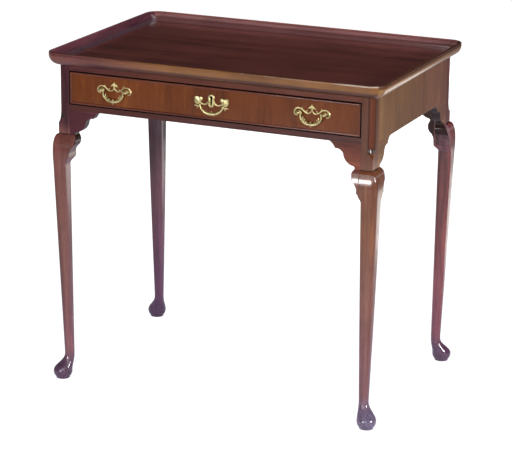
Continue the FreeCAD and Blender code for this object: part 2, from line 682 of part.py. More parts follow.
def build_drawer():
    inner = DRAWER_HALF_WIDTH - DRAWER_SIDE_THICKNESS
    back_inner = DRAWER_END - DRAWER_SIDE_THICKNESS
    bottom = box(-inner - GROOVE_DEPTH, inner + GROOVE_DEPTH, DRAWER_FRONT_BACK - GROOVE_DEPTH,
                 DRAWER_END, BOTTOM_LOW, BOTTOM_HIGH)
    side = drawer_side(bottom)
    other_side = mirrored(side)
    back = box(-DRAWER_HALF_WIDTH, DRAWER_HALF_WIDTH, back_inner, DRAWER_END, BOTTOM_HIGH, BACK_HIGH)
    front = box(-DRAWER_HALF_WIDTH, DRAWER_HALF_WIDTH, FRONT_FACE, DRAWER_FRONT_BACK,
                DRAWER_LOW, DRAWER_HIGH)
    cuts = build_beads() + [bottom, side, other_side]
    cuts += [lock_outside(), keyhole(FRONT_FACE, DRAWER_FRONT_BACK)]
    cuts += [NODES["handle_posts"], NODES["escutcheon_pins"], NODES["lock_screws"]]
    NODES["drawer_front"] = without(front, cuts)
    NODES["drawer_right_side"] = side
    NODES["drawer_left_side"] = other_side
    NODES["drawer_back"] = without(back, [side, other_side])
    NODES["drawer_bottom"] = bottom


# Lock


def lock_outside():
    """The outside of the case, which also fills its pocket in the drawer front."""
    return box(-LOCK_WIDTH / 2, LOCK_WIDTH / 2, DRAWER_FRONT_BACK - LOCK_DEPTH, DRAWER_FRONT_BACK,
               DRAWER_HIGH - LOCK_HEIGHT, DRAWER_HIGH)


def bolt_block(room, throw):
    """The bolt, or the space for it with room all round and for its throw."""
    half = BOLT_WIDTH / 2 + room
    middle = DRAWER_FRONT_BACK - LOCK_DEPTH / 2
    depth = BOLT_THICKNESS / 2 + room
    return box(-half, half, middle - depth, middle + depth,
               DRAWER_HIGH - BOLT_HEIGHT - room, DRAWER_HIGH + throw)


def bolt_mortise():
    """Pocket in the top rail that the bolt shoots into."""
    space = bolt_block(MORTISE_CLEARANCE, BOLT_THROW + MORTISE_CLEARANCE)
    return space.common(box(-LOCK_WIDTH, LOCK_WIDTH, FRONT_FACE, BACK_FACE, OPENING_TOP, UNDERSIDE))


def screw(x, z):
    """Countersunk screw driven forwards through the lock's plate."""
    start = Vector(x, DRAWER_FRONT_BACK, z)
    forwards = Vector(0, -1, 0)
    head = Part.makeCone(LOCK_SCREW_HEAD, LOCK_SCREW_RADIUS, LOCK_WALL, start, forwards)
    shank = Part.makeCylinder(LOCK_SCREW_RADIUS, LOCK_SCREW_LENGTH, start, forwards)
    return fused([head, shank])


def build_lock():
    middle_z = DRAWER_HIGH - LOCK_HEIGHT / 2
    wing = LOCK_WIDTH / 2 - LOCK_SCREW_INSET
    levels = (middle_z - LOCK_HEIGHT / 4, middle_z + LOCK_HEIGHT / 4)
    screws = Part.makeCompound([screw(x, z) for z in levels for x in (-wing, wing)])
    cavity = box(-LOCK_WIDTH / 4, LOCK_WIDTH / 4, DRAWER_FRONT_BACK - LOCK_DEPTH + LOCK_WALL,
                 DRAWER_FRONT_BACK - LOCK_WALL, DRAWER_HIGH - LOCK_HEIGHT + LOCK_WALL,
                 DRAWER_HIGH - BOLT_HEIGHT - BOLT_CLEARANCE)
    front_wall = keyhole(DRAWER_FRONT_BACK - LOCK_DEPTH, DRAWER_FRONT_BACK - LOCK_DEPTH / 2)
    space = bolt_block(BOLT_CLEARANCE, 0)
    NODES["lock_case"] = without(lock_outside(), [cavity, space, front_wall, screws])
    NODES["lock_bolt"] = bolt_block(0, 0)
    NODES["lock_screws"] = screws


# Brass: drawn flat in x and z about the middle of the fitting, with the drawer's face at y = 0


def disc(x, z, radius):
    """A flat round of plate thickness, standing out from the drawer's face."""
    return Part.makeCylinder(radius, PLATE_THICKNESS, Vector(x, 0, z), Vector(0, -1, 0))


def on_ring(x, z, radius, degrees):
    angle = math.radians(degrees)
    return Vector(x + radius * math.cos(angle), 0, z + radius * math.sin(angle))


def band(x, z, radius, start, end, width=PLATE_BAND):
    """A flat strip bent round a centre, from one bearing to another, with rounded ends."""
    out = radius + width / 2
    inn = radius - width / 2
    middle = (start + end) / 2
    strip = prism([
        arc(on_ring(x, z, out, start), on_ring(x, z, out, middle), on_ring(x, z, out, end)),
        line(on_ring(x, z, out, end), on_ring(x, z, inn, end)),
        arc(on_ring(x, z, inn, end), on_ring(x, z, inn, middle), on_ring(x, z, inn, start)),
        line(on_ring(x, z, inn, start), on_ring(x, z, out, start)),
    ], Vector(0, -PLATE_THICKNESS, 0))
    tips = [on_ring(x, z, radius, bearing) for bearing in (start, end)]
    return fused([strip] + [disc(tip.x, tip.z, width / 2) for tip in tips])


def flat_polygon(points):
    corners = [Vector(x, 0, z) for x, z in points]
    return Part.Face(Part.makePolygon(corners + corners[:1])).extrude(Vector(0, -PLATE_THICKNESS, 0))


def handle_plate():
    """Openwork plate: a scroll round each boss, two dips and a leaf finial on a stalk."""
    boss = BOSS_SPACING / 2
    dip = DIP_SPACING / 2
    run = boss - dip
    sweep_radius = (run ** 2 + DIP_LEVEL ** 2 - SCROLL_RADIUS ** 2) / (2 * (SCROLL_RADIUS - DIP_LEVEL))
    sweep_level = sweep_radius + DIP_LEVEL
    lean = math.degrees(math.atan2(sweep_level, run))
    half = [
        band(boss, 0, SCROLL_RADIUS, SCROLL_START, 180 - lean),
        band(dip, sweep_level, sweep_radius, 270, 360 - lean),
        band(dip, DIP_LEVEL + DIP_TURN_RADIUS, DIP_TURN_RADIUS, DIP_TURN_END, 270),
        disc(boss, 0, COLLAR_RADIUS),
        flat_polygon([(boss, -COLLAR_RADIUS / 2), (boss + COLLAR_SPAN, -COLLAR_RADIUS / 2),
                      (boss + COLLAR_SPAN, COLLAR_RADIUS / 2), (boss, COLLAR_RADIUS / 2)]),
    ]
    stalk_half = STALK_WIDTH / 2
    stalk_foot = DIP_LEVEL + DIP_TURN_RADIUS / 2
    stalk_top = FINIAL_BASE + STALK_WIDTH
    stalk = flat_polygon([(-stalk_half, stalk_foot), (stalk_half, stalk_foot),
                          (stalk_half, stalk_top), (-stalk_half, stalk_top)])
    barb = FINIAL_WIDTH / 2
    flank = FINIAL_TIP - barb / 2
    leaf = flat_polygon([(-barb, FINIAL_BASE), (0, stalk_top), (barb, FINIAL_BASE),
                         (barb / 2, flank), (0, FINIAL_TIP), (-barb / 2, flank)])
    return fused(half + [mirrored(piece) for piece in half] + [stalk, leaf])


def escutcheon():
    """Keyhole plate: a shield, an arm and lobe on each side, and a crescent hung below."""
    lobe = LOBE_SPACING / 2
    arm = lobe / 2
    half = [
        disc(lobe, 0, LOBE_RADIUS),
        disc(lobe - LOBE_RADIUS, LOBE_RADIUS / 2, LOBE_RADIUS / 2),
        band(arm, ARM_RADIUS / 2, ARM_RADIUS, *ARM_BEARINGS),
        disc(CRESCENT_HALF_WIDTH, CRESCENT_TOP, HOOK_RADIUS),
        band(lobe, CRESCENT_TOP + HOOK_RADIUS, 2 * HOOK_RADIUS, *HOOK_BEARINGS, HOOK_RADIUS),
    ]
    shield = [
        disc(0, SHIELD_HEAD_LEVEL, SHIELD_HEAD_RADIUS), disc(0, SHIELD_FOOT_LEVEL, SHIELD_FOOT_RADIUS),
        flat_polygon([(-SHIELD_FOOT_RADIUS, SHIELD_FOOT_LEVEL), (SHIELD_FOOT_RADIUS, SHIELD_FOOT_LEVEL),
                      (SHIELD_HEAD_RADIUS, SHIELD_HEAD_LEVEL), (-SHIELD_HEAD_RADIUS, SHIELD_HEAD_LEVEL)]),
    ]
    outer_low = Vector(0, 0, CRESCENT_BOTTOM)
    inner_low = Vector(0, 0, CRESCENT_BOTTOM + CRESCENT_BELLY)
    left = Vector(-CRESCENT_HALF_WIDTH, 0, CRESCENT_TOP)
    right = Vector(CRESCENT_HALF_WIDTH, 0, CRESCENT_TOP)
    crescent = prism([arc(left, outer_low, right), arc(right, inner_low, left)],
                     Vector(0, -PLATE_THICKNESS, 0))
    return fused(half + [mirrored(piece) for piece in half] + shield + [crescent])


def bail():
    """Swan-neck bail that hangs from its pivot pins, with a full belly, leaves and a tip."""
    half = BOSS_SPACING / 2 - POST_HEAD_RADIUS - BAIL_SIDE_GAP - BAIL_RADIUS
    corner = half - BAIL_SHOULDER_RADIUS
    rise = BAIL_DROP - BAIL_NECK
    spread = corner ** 2 + rise ** 2 - BAIL_SHOULDER_RADIUS ** 2
    belly_radius = spread / (2 * (rise - BAIL_SHOULDER_RADIUS))
    belly_level = -BAIL_DROP + belly_radius
    lean = math.degrees(math.atan2(belly_level + BAIL_NECK, corner))
    meet = on_ring(corner, -BAIL_NECK, BAIL_SHOULDER_RADIUS, -lean)
    turn = on_ring(corner, -BAIL_NECK, BAIL_SHOULDER_RADIUS, -lean / 2)

    def flipped(point):
        return Vector(-point.x, 0, point.z)

    top = Vector(half, 0, 0)
    neck = Vector(half, 0, -BAIL_NECK)
    path = Part.Wire([
        line(flipped(top), flipped(neck)),
        arc(flipped(neck), flipped(turn), flipped(meet)),
        arc(flipped(meet), Vector(0, 0, -BAIL_DROP), meet),
        arc(meet, turn, neck),
        line(neck, top),
    ])
    section = Part.Wire([Part.makeCircle(BAIL_RADIUS, flipped(top), Vector(0, 0, 1))])
    rod = path.makePipeShell([section], True, False)
    parts = [rod]
    for side in (-1, 1):
        parts.append(Part.makeSphere(BAIL_RADIUS, Vector(side * half, 0, 0)))
        reach = BAIL_RADIUS + BAIL_SIDE_GAP + PIVOT_PIN_REACH
        out = Vector(side, 0, 0)
        parts.append(Part.makeCylinder(PIVOT_PIN_RADIUS, reach, out * half, out))
        leaf = Vector(side * (half - BAIL_RADIUS), 0, -BAIL_NECK - BAIL_RADIUS)
        parts.append(Part.makeSphere(BAIL_LEAF_RADIUS, leaf))
    parts.append(Part.makeSphere(BAIL_BELLY, Vector(0, 0, -BAIL_DROP)))
    tip = Vector(0, 0, -BAIL_DROP - BAIL_BELLY + BAIL_TIP_RADIUS / 2)
    parts.append(Part.makeCone(BAIL_TIP_RADIUS, BAIL_TIP_RADIUS / 4, 2 * BAIL_TIP_RADIUS,
                               tip, Vector(0, 0, -1)))
    return fused(parts)


def handle_post(x):
    """Boss with its cross hole for the bail's pin, on a shank through the drawer front."""
    shank_end = DRAWER_FRONT_BACK - FRONT_FACE + NUT_THICKNESS
    head = Part.makeSphere(POST_HEAD_RADIUS, Vector(x, -PIVOT_STANDOFF, 0))
    shank = Part.makeCylinder(POST_SHANK_RADIUS, PIVOT_STANDOFF + shank_end,
                              Vector(x, -PIVOT_STANDOFF, 0), Vector(0, 1, 0))
    inwards = -1 if x > 0 else 1
    hole_depth = PIVOT_PIN_REACH + 2 * PIVOT_CLEARANCE
    mouth = Vector(x + inwards * POST_HEAD_RADIUS, -PIVOT_STANDOFF, 0)
    hole = Part.makeCylinder(PIVOT_PIN_RADIUS + PIVOT_CLEARANCE, hole_depth + BAIL_SIDE_GAP,
                             mouth + Vector(inwards * BAIL_SIDE_GAP, 0, 0), Vector(-inwards, 0, 0))
    return without(fused([head, shank]), [hole])


def handle_nut(x):
    inside = DRAWER_FRONT_BACK - FRONT_FACE
    nut = Part.makeCylinder(NUT_RADIUS, NUT_THICKNESS, Vector(x, inside, 0), Vector(0, 1, 0))
    bore = Part.makeCylinder(POST_SHANK_RADIUS, NUT_THICKNESS, Vector(x, inside, 0), Vector(0, 1, 0))
    return without(nut, [bore])


def escutcheon_pin(x):
    head = Part.makeSphere(PIN_HEAD_RADIUS, Vector(x, -PLATE_THICKNESS, 0))
    reach = 2 * PIN_HEAD_RADIUS
    dome = head.common(box(x - reach, x + reach, -PLATE_THICKNESS - reach, -PLATE_THICKNESS, -reach, reach))
    shank = Part.makeCylinder(PIN_RADIUS, PIN_LENGTH, Vector(x, -PLATE_THICKNESS, 0), Vector(0, 1, 0))
    return fused([dome, shank])


def build_brass():
    bosses = (-BOSS_SPACING / 2, BOSS_SPACING / 2)
    handle_x = DRAWER_HALF_WIDTH - HANDLE_INSET
    centres = (("left", -handle_x), ("right", handle_x))
    lobes = (-LOBE_SPACING / 2, LOBE_SPACING / 2)

    def placed(shape, x):
        return moved(shape, x, FRONT_FACE, MOUNTS_LEVEL)

    posts = [placed(handle_post(boss), x) for _, x in centres for boss in bosses]
    nuts = [placed(handle_nut(boss), x) for _, x in centres for boss in bosses]
    pins = [placed(escutcheon_pin(lobe), 0) for lobe in lobes]
    NODES["handle_posts"] = Part.makeCompound(posts)
    NODES["handle_nuts"] = Part.makeCompound(nuts)
    NODES["escutcheon_pins"] = Part.makeCompound(pins)
    for name, x in centres:
        NODES["handle_plate_" + name] = without(placed(handle_plate(), x), [NODES["handle_posts"]])
        NODES["bail_" + name] = moved(bail(), x, PIVOT_Y, MOUNTS_LEVEL)
    cuts = [keyhole(PLATE_FRONT, FRONT_FACE), NODES["escutcheon_pins"]]
    NODES["escutcheon"] = without(placed(escutcheon(), 0), cuts)


build_top()
build_legs(build_rails())
build_brackets()
build_drawer_way()
build_brass()
build_lock()
build_drawer()

os.makedirs("parts", exist_ok=True)
for node, shape in NODES.items():
    shape.exportStep(f"parts/{node}.step")
    print(node, len(shape.Solids), round(shape.Volume), shape.isValid())
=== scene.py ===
import math
from itertools import product

import bmesh
import bpy
from bpy.props import FloatProperty, FloatVectorProperty, PointerProperty
from mathutils import Matrix, Vector


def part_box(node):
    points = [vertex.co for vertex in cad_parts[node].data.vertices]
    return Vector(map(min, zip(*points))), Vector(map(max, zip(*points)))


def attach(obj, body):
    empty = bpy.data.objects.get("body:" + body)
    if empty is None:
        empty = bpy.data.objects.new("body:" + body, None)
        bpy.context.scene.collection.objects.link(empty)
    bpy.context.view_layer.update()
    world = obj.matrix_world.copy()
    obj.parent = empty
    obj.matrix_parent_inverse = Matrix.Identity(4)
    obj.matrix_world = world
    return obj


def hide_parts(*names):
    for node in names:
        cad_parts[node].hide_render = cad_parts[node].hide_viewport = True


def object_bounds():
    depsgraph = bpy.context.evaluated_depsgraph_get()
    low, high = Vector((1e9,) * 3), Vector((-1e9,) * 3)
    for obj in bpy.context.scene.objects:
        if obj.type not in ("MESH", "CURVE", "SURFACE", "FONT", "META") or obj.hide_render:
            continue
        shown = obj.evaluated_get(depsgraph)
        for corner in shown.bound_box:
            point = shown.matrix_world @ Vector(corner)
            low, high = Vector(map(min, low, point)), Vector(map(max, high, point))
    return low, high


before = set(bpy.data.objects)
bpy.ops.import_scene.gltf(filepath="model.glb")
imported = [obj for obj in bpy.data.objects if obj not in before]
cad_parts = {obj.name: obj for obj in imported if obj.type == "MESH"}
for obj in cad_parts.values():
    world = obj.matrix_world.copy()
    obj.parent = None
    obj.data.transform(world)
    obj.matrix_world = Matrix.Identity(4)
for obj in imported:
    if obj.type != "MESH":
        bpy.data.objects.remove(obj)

bl_info = {
    "name": "Tray Top Tea Table",
    "version": (1, 0, 0),
    "blender": (4, 5, 0),
    "location": "View3D > Sidebar > Tea Table",
    "description": "Dresses a mahogany tea table with a tray top, one drawer and brass fittings",
    "category": "Object",
}

CAD_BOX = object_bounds()
RIM_TOP = CAD_BOX[1][2]
MILLIMETRE = 0.001

# Posts' hollows, gap round the drawer, and how far a bail's pins lie behind its bosses' ends
HOLLOW_RADIUS = 0.011
HOLLOW_STOP = 0.02
DRAWER_GAP = 0.002
BAIL_SEAT = 3.6 * MILLIMETRE

# Heights on a leg between which its finish changes
STAIN_AND_SHEEN_ENDS = (0.03, 0.07)
SHANK_ENDS = (0.05, 0.28)
KNEE_STARTS = (0.28, 0.44)
POST_STARTS = (0.535, 0.565)

# Surface of the polished legs and ears, and figure of the veneers
LEG_SURFACE = {"gloss": 0.5, "coat": 0.13, "rough": 0.13}
VENEER = {"figure": 30.0, "stretch": 0.12}

# Grain, and the near-black and dark brown of painted shade
DARK_STREAK = (0.27, 0.24, 0.29)
PALE_STREAK = (1.73, 2.05, 1.78)
PAINTED_SHADE = (0.016, 0.008, 0.006)
CORNER_SHADE = (0.2, 0.085, 0.095)

# Tints of worn and faded wood, and of painted shade, highlights, reflections and sheen
UPPER_RAIL = (1.5, 1.5, 1.2)
UPPER_RAIL_LEFT = (0.62, 0.6, 0.95)
WORN_LIP = (1.7, 1.75, 1.8)
FIELD_BACK = (1.1, 1.2, 1.25)
FIELD_BACK_EDGE_SHADE = (0.68, 0.6, 0.58)
BACK_COVE_HIGHLIGHT = (1.4, 1.7, 1.9)
BACK_COVE_SHADE = (0.72, 0.8, 0.85)
LEFT_COVE_FOOT_SHADE = (0.72, 0.95, 1.0)
LEFT_RIM_END_SHADE = (0.24, 0.16, 0.18)
FRONT_RIM_UNDER_SHADE = (0.42, 0.38, 0.55)
FRONT_RIM_CORNER_HIGHLIGHT = (0.8, 0.68, 0.58)
FRONT_RIM_LEFT = (0.72, 0.56, 1.4)
FRONT_RIM_END_REFLECTION = (1.25, 1.3, 1.2)
RIGHT_RIM_LIP_SHADE = (0.34, 0.26, 0.36)
SIDE_RAIL_BACK = (0.9, 0.74, 1.1)
# Shanks bluer towards the foot, partly a painted sheen. The legs' tints are partly each timber's tone; the
# back right leg is painted lighter against its shade, the back legs' upper parts are painted darker as the
# top's shadow, and the bluer tints are partly a painted sheen.
SHANK_TONE_AND_SHEEN = (1.04, 1.07, 1.5)
POST = (0.76, 0.68, 0.56)
LEG_TINTS = {"front_left": (1.05, 1.0, 1.15), "front_right": (1.0, 1.0, 1.0),
             "back_left": (0.85, 0.8, 1.6), "back_right": (1.65, 1.28, 1.6)}
UPPER_TINTS = {"front_left": (1.1, 1.06, 1.0), "front_right": (0.9, 0.8, 0.52),
               "back_left": (0.38, 0.34, 0.42), "back_right": (0.8, 0.76, 0.82)}
FOOT_TINTS = {"front_left": (1.0, 1.0, 1.0), "front_right": (1.9, 2.75, 2.35),
              "back_left": (0.85, 0.65, 0.85), "back_right": (1.0, 0.95, 1.0)}

# Floor patches that glow only in the polish's reflections, as painted reflections: each one's middle, where
# it starts to fade and ends, its level
MIRRORED_FLOOR_GLOWS = (((-0.2, -0.7, 0.0), 0.55, 1.45, 0.35), ((0.25, -0.5, 0.0), 0.0, 0.8, 0.35),
          ((0.6, 0.7, 0.0), 0.7, 1.2, 0.34), ((0.65, 1.3, 0.0), 0.3, 0.65, 1.3))
BARE_FLOOR_LEVEL = 0.08
NEAR_FLOOR = (0.74, 0.67, 0.95)
FAR_FLOOR = (1.0, 0.96, 0.92)
FLOOR_DROP = 0.0003

# Meshes: points closer than this are one, faces nearer in angle are flat, how far a sawn face turns
WELD = 2e-6
FLAT_DEGREES = 0.2
SAWN_TILT = 0.3

# Softboxes: place, width, height, whether the polish mirrors it, whether it lights the wood
SOFTBOXES = {"key": ((-0.63, -2.75, 0.72), 0.45, 0.46, False, True),
             "band": ((-0.63, -2.7, 0.72), 0.45, 0.46, True, False),
             "wide": ((0.4, -3.0, 1.55), 3.0, 1.8, True, True),
             "fill": ((2.9, -0.7, 1.0), 0.7, 0.7, True, True),
             "top": ((0.3, 1.2, 2.6), 1.5, 1.0, True, True),
             "back": ((-1.0, 2.9, 0.5), 1.4, 0.7, False, True),
             "left": ((-2.9, 0.4, 1.0), 0.9, 0.9, False, True)}
LIT_POINT = (0.0, 0.0, 0.45)
SKYLINE = math.sin(math.radians(3))


def linear(red, green, blue):
    """A colour, each part judged from 0 to 255, as Blender's own linear colour."""
    parts = [part / 255 for part in (red, green, blue)]
    return tuple(p / 12.92 if p <= 0.04045 else ((p + 0.055) / 1.055) ** 2.4 for p in parts)


def colour(name, description, default):
    return FloatVectorProperty(name=name, description=description, subtype="COLOR", size=3,
                               min=0.0, max=1.0, default=default)


def wood_tone(name, where, *tone):
    return colour(name, "Middle tone of the " + where, linear(*tone))


def length(name, description, default):
    return FloatProperty(name=name, description=description, default=default, unit="LENGTH", precision=4)


def power(name, description, default):
    return FloatProperty(name=name, description=description, default=default, unit="POWER")


def angle(name, description, degrees):
    return FloatProperty(name=name, description=description, default=math.radians(degrees), subtype="ANGLE")


def share(name, description, default):
    return FloatProperty(name=name, description=description, default=default, min=0.0, max=1.0,
                         subtype="FACTOR")


# Settings that a user would change


class TableFinishes(bpy.types.PropertyGroup):
    """Colours and gloss of the table's woods and metals"""
    field: wood_tone("Field", "tray's field", 122, 62, 55)
    rim: wood_tone("Rim", "moulding at the back", 138, 86, 82)
    left_rim: wood_tone("Left rim", "purple moulding at the left", 116, 66, 77)
    front_rim: wood_tone("Front rim", "paler moulding at the front and right", 138, 94, 58)
    drawer: wood_tone("Drawer", "drawer front", 110, 56, 25)
    bead: wood_tone("Beads", "beads round the drawer front", 110, 60, 46)
    front_rails: wood_tone("Front rails", "rails above and below the drawer", 82, 44, 40)
    side_rails: wood_tone("Side rails", "side and back rails", 124, 86, 56)
    # The legs' tone holds a painted sheen as well as the wood's own colour.
    legs: wood_tone("Legs", "legs and ears", 117, 71, 62)
    # The back ears' pale tone is partly painted light in their shade.
    dull_ear: wood_tone("Dull ears", "ears at the back", 150, 112, 118)
    bracket: wood_tone("Brackets", "brackets", 118, 60, 45)
    dark_leg: wood_tone("Dark post", "darker timber at the front left", 80, 38, 46)
    # The feet's tone is partly a dark stain and partly a painted blue sheen.
    feet: wood_tone("Feet", "stained feet", 82, 64, 90)
    # The hollows' redder tone is painted bounce light between their walls.
    hollow: wood_tone("Hollow", "hollows down the posts", 94, 46, 29)
    oak: wood_tone("Oak", "drawer lining and runners", 156, 118, 76)
    brass: colour("Brass", "Cast brass of the handles and keyhole plate", linear(216, 204, 148))
    brass_tarnish: colour("Tarnish", "Dull brass left in the hollows", linear(122, 106, 62))
    iron: colour("Iron", "Iron of the lock", linear(82, 78, 74))
    polish: share("Polish", "How much of a clear polish lies on the top, rails and drawer", 0.15)
    leg_polish: share("Leg polish", "How much of a clear polish lies on the legs", 0.5)
    edge_softness: length("Edge softness", "How far the wood's edges are worn round", 0.0002)


class BrassSizes(bpy.types.PropertyGroup):
    """Sizes of the cast brass"""
    relief: length("Relief", "How far the middle of a plate's strands stands out of the wood", 0.0006)
    grain: length("Casting grain", "Fineness of the cast surface", 0.00034)


class StageSettings(bpy.types.PropertyGroup):
    """Camera, lights and floor"""
    lens: FloatProperty(name="Lens", description="Focal length of the camera", default=160.35, unit="CAMERA")
    azimuth: angle("Azimuth", "Bearing of the camera from the drawer side", 23.82)
    elevation: angle("Elevation", "Height of the camera as an angle", 16.594)
    roll: angle("Roll", "Turn of the camera about its own axis", 0.555)
    distance: length("Distance", "From the camera to what it looks at", 4.85025)
    target: FloatVectorProperty(name="Target", description="The point that the camera looks at", size=3,
                                subtype="XYZ", unit="LENGTH", default=(0.00012, 0.0, 0.31688))
    floor_radius: length("Floor radius", "Half the width of the floor", 40.0)
    floor_colour: colour("Floor", "Colour of the floor", linear(160, 160, 162))
    key: power("Key light", "Power of the softbox low at the front left", 32.0)
    band: power("Band light", "Power of the key softbox as the polish mirrors it", 18.0)
    wide: power("Wide light", "Power of the wide softbox at the front", 36.0)
    fill: power("Fill light", "Power of the softbox at the right", 62.0)
    top: power("Top light", "Power of the softbox over the back edge", 16.0)
    back: power("Back light", "Power of the low softbox behind", 26.0)
    left: power("Left light", "Power of the softbox at the left", 26.0)
    room: FloatProperty(name="Room", description="Brightness of the dim room round the stage", default=0.05)


# Shader maths and finishes


def plug(tree, socket, value):
    """Links a wire to a socket, or gives the socket its own value, a colour's with full alpha."""
    if isinstance(value, Wire):
        tree.links.new(value.socket, socket)
    elif socket.type == "RGBA":
        socket.default_value = (*value, 1.0)
    else:
        socket.default_value = value


class Wire:
    """A shader socket that takes part in Python arithmetic."""

    def __init__(self, tree, socket):
        self.tree = tree
        self.socket = socket

    def math(self, operation, first, second):
        node = self.tree.nodes.new("ShaderNodeMath")
        node.operation = operation
        for slot, value in zip(node.inputs, (first, second)):
            plug(self.tree, slot, value)
        return Wire(self.tree, node.outputs[0])

    def __add__(self, other):
        return self.math("ADD", self, other)

    __radd__ = __add__

    def __sub__(self, other):
        return self.math("SUBTRACT", self, other)

    def __rsub__(self, other):
        return self.math("SUBTRACT", other, self)

    def __mul__(self, other):
        return self.math("MULTIPLY", self, other)

    __rmul__ = __mul__


class Recipe:
    """A node tree under construction, from its first node to its shader's sockets."""

    def __init__(self, tree):
        self.tree = tree

    def node(self, kind, settings=None, inputs=None, output=0):
        """Adds a node, with its settings first, and returns one of its outputs."""
        made = self.tree.nodes.new(kind)
        for name, value in (settings or {}).items():
            setattr(made, name, value)
        for name, value in (inputs or {}).items():
            plug(self.tree, made.inputs[name], value)
        return Wire(self.tree, made.outputs[output])

    def noise(self, place, scale, detail=2.0, roughness=0.5, distortion=0.0):
        return self.node("ShaderNodeTexNoise", {"noise_dimensions": "3D"},
                         {"Vector": place, "Scale": scale, "Detail": detail, "Roughness": roughness,
                          "Distortion": distortion}, "Fac")

    def ramp(self, value, stops):
        made = self.node("ShaderNodeValToRGB", {}, {"Fac": value}, "Color")
        elements = made.socket.node.color_ramp.elements
        while len(elements) < len(stops):
            elements.new(1.0)
        for element, (position, tone) in zip(elements, stops):
            element.position = position
            element.color = (*tone, 1.0)
        return made

    def span(self, value, low, high, to_low=0.0, to_high=1.0):
        """A value taken from one span to another, and held at its ends."""
        return self.node("ShaderNodeMapRange", {"clamp": True, "interpolation_type": "SMOOTHSTEP"},
                         {"Value": value, "From Min": low, "From Max": high,
                          "To Min": to_low, "To Max": to_high})

    def fade(self, value, low, high):
        """One up to the low value, falling to nothing at the high one."""
        return self.span(value, low, high, 1.0, 0.0)

    def mix(self, factor, first, second, blend="MIX"):
        """Two colours mixed; numbered sockets, because a Mix node names three pairs alike."""
        return self.node("ShaderNodeMix", {"data_type": "RGBA", "blend_type": blend},
                         {0: factor, 6: first, 7: second}, 2)

    def tint(self, factor, tone, by):
        """A colour multiplied by a tint, as far as the factor goes."""
        return self.mix(factor, tone, by, "MULTIPLY")

    def vector(self, operation, first, second=(0.0, 0.0, 0.0), output=0):
        return self.node("ShaderNodeVectorMath", {"operation": operation}, {0: first, 1: second}, output)

    def axis(self, place, name):
        return self.node("ShaderNodeSeparateXYZ", {}, {0: place}, name)

    def bump(self, height, depth, strength=1.0, under=None):
        inputs = {"Height": height, "Distance": depth, "Strength": strength}
        if under:
            inputs["Normal"] = under
        return self.node("ShaderNodeBump", {}, inputs)


class Finish(Recipe):
    """A material under construction."""

    def __init__(self, name):
        self.material = bpy.data.materials.new(name)
        self.material.use_nodes = True
        super().__init__(self.material.node_tree)
        self.shader = self.tree.nodes["Principled BSDF"]

    def place(self, scale=(1.0, 1.0, 1.0), shift=(0.0, 0.0, 0.0)):
        """The point on the piece, in metres, stretched and shifted."""
        spot = self.node("ShaderNodeTexCoord", output="Object")
        return self.node("ShaderNodeMapping", {}, {"Vector": spot, "Scale": scale, "Location": shift})

    def set(self, **values):
        """Sockets of the shader, by name with underscores for spaces."""
        for name, value in values.items():
            plug(self.tree, self.shader.inputs[name.replace("_", " ")], value)
        return self.material


def made_once(recipe):
    """Pieces that name the same finish share it."""
    def finish(name, *values, **settings):
        return bpy.data.materials.get(name) or recipe(name, *values, **settings)
    return finish


def grain_scale(along, stretch):
    return tuple(stretch if axis == along else 1.0 for axis in "XYZ")


@made_once
def mahogany(name, along, mid, polish, gloss=0.3, shift=0.0, figure=16.0, stretch=0.055, spread=0.17,
             coat=0.06, rough=0.1, wear_and_shade=None):
    """Polished mahogany with its grain along one axis: bands, streaks, short dark pores."""
    mid = tuple(mid)
    dark = tuple(part * level for part, level in zip(mid, DARK_STREAK))
    light = tuple(part * level for part, level in zip(mid, PALE_STREAK))
    finish = Finish(name)
    grain = finish.place(grain_scale(along, stretch), (shift, shift, shift))
    bands = finish.noise(grain, figure, 2.0, 0.5, 0.6)
    streaks = finish.noise(grain, 120.0, 4.0, 0.6, 0.3)
    fine = finish.noise(finish.place(grain_scale(along, 0.055)), 520.0, 3.0, 0.6)
    tone = bands * 0.52 + streaks * 0.36 + fine * 0.12
    body = finish.ramp(tone, [(0.5 - spread, dark), (0.48, mid), (0.53, mid), (0.5 + spread, light)])
    pore_place = finish.place(grain_scale(along, 0.03), (shift + 0.3, shift, shift))
    pores = finish.span(finish.noise(pore_place, 1500.0, 1.0, 0.5), 0.60, 0.72)
    cloud = finish.noise(finish.place(shift=(shift, 0.2, 0.1)), 9.0, 3.0, 0.6)
    faded = finish.mix(finish.span(cloud, 0.35, 0.75, 0.0, 0.35), body, dark)
    base = finish.mix(pores * 0.22, faded, dark)
    # The piece's own wear and tone, with its painted shade, highlights and reflections
    if wear_and_shade:
        base = wear_and_shade(finish, base)
    wavy = finish.bump(finish.noise(finish.place(), 24.0, 2.0, 0.5), 0.0009, 0.35)
    surface = finish.bump(fine - pores * 0.6, 0.00006, 0.5, wavy)
    roughness = rough + streaks * 0.09 + pores * 0.1
    if callable(polish):
        polish = polish(finish)
    return finish.set(Base_Color=base, Roughness=roughness, Normal=surface,
                      Specular_IOR_Level=gloss, Coat_Weight=polish, Coat_Roughness=coat)


def bead_shade(finish, base):
    """Painted shade in the crease along the drawer front's edges, inside the beads, in patches."""
    low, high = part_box("drawer_front")
    place = finish.place()
    across = finish.axis(finish.vector("ABSOLUTE", place), "X")
    height = finish.axis(place, "Z")
    patchy = finish.noise(place, 60.0, 3.0)
    ends = finish.span(across, high.x - 0.0055, high.x - 0.0015)
    over = finish.span(height, high.z - 0.0045, high.z - 0.0012)
    under = finish.span(height, low.z + 0.003, low.z + 0.006, 0.6, 0.0)
    return finish.mix((ends + over + under) * (0.45 + patchy * 0.6), base, PAINTED_SHADE)


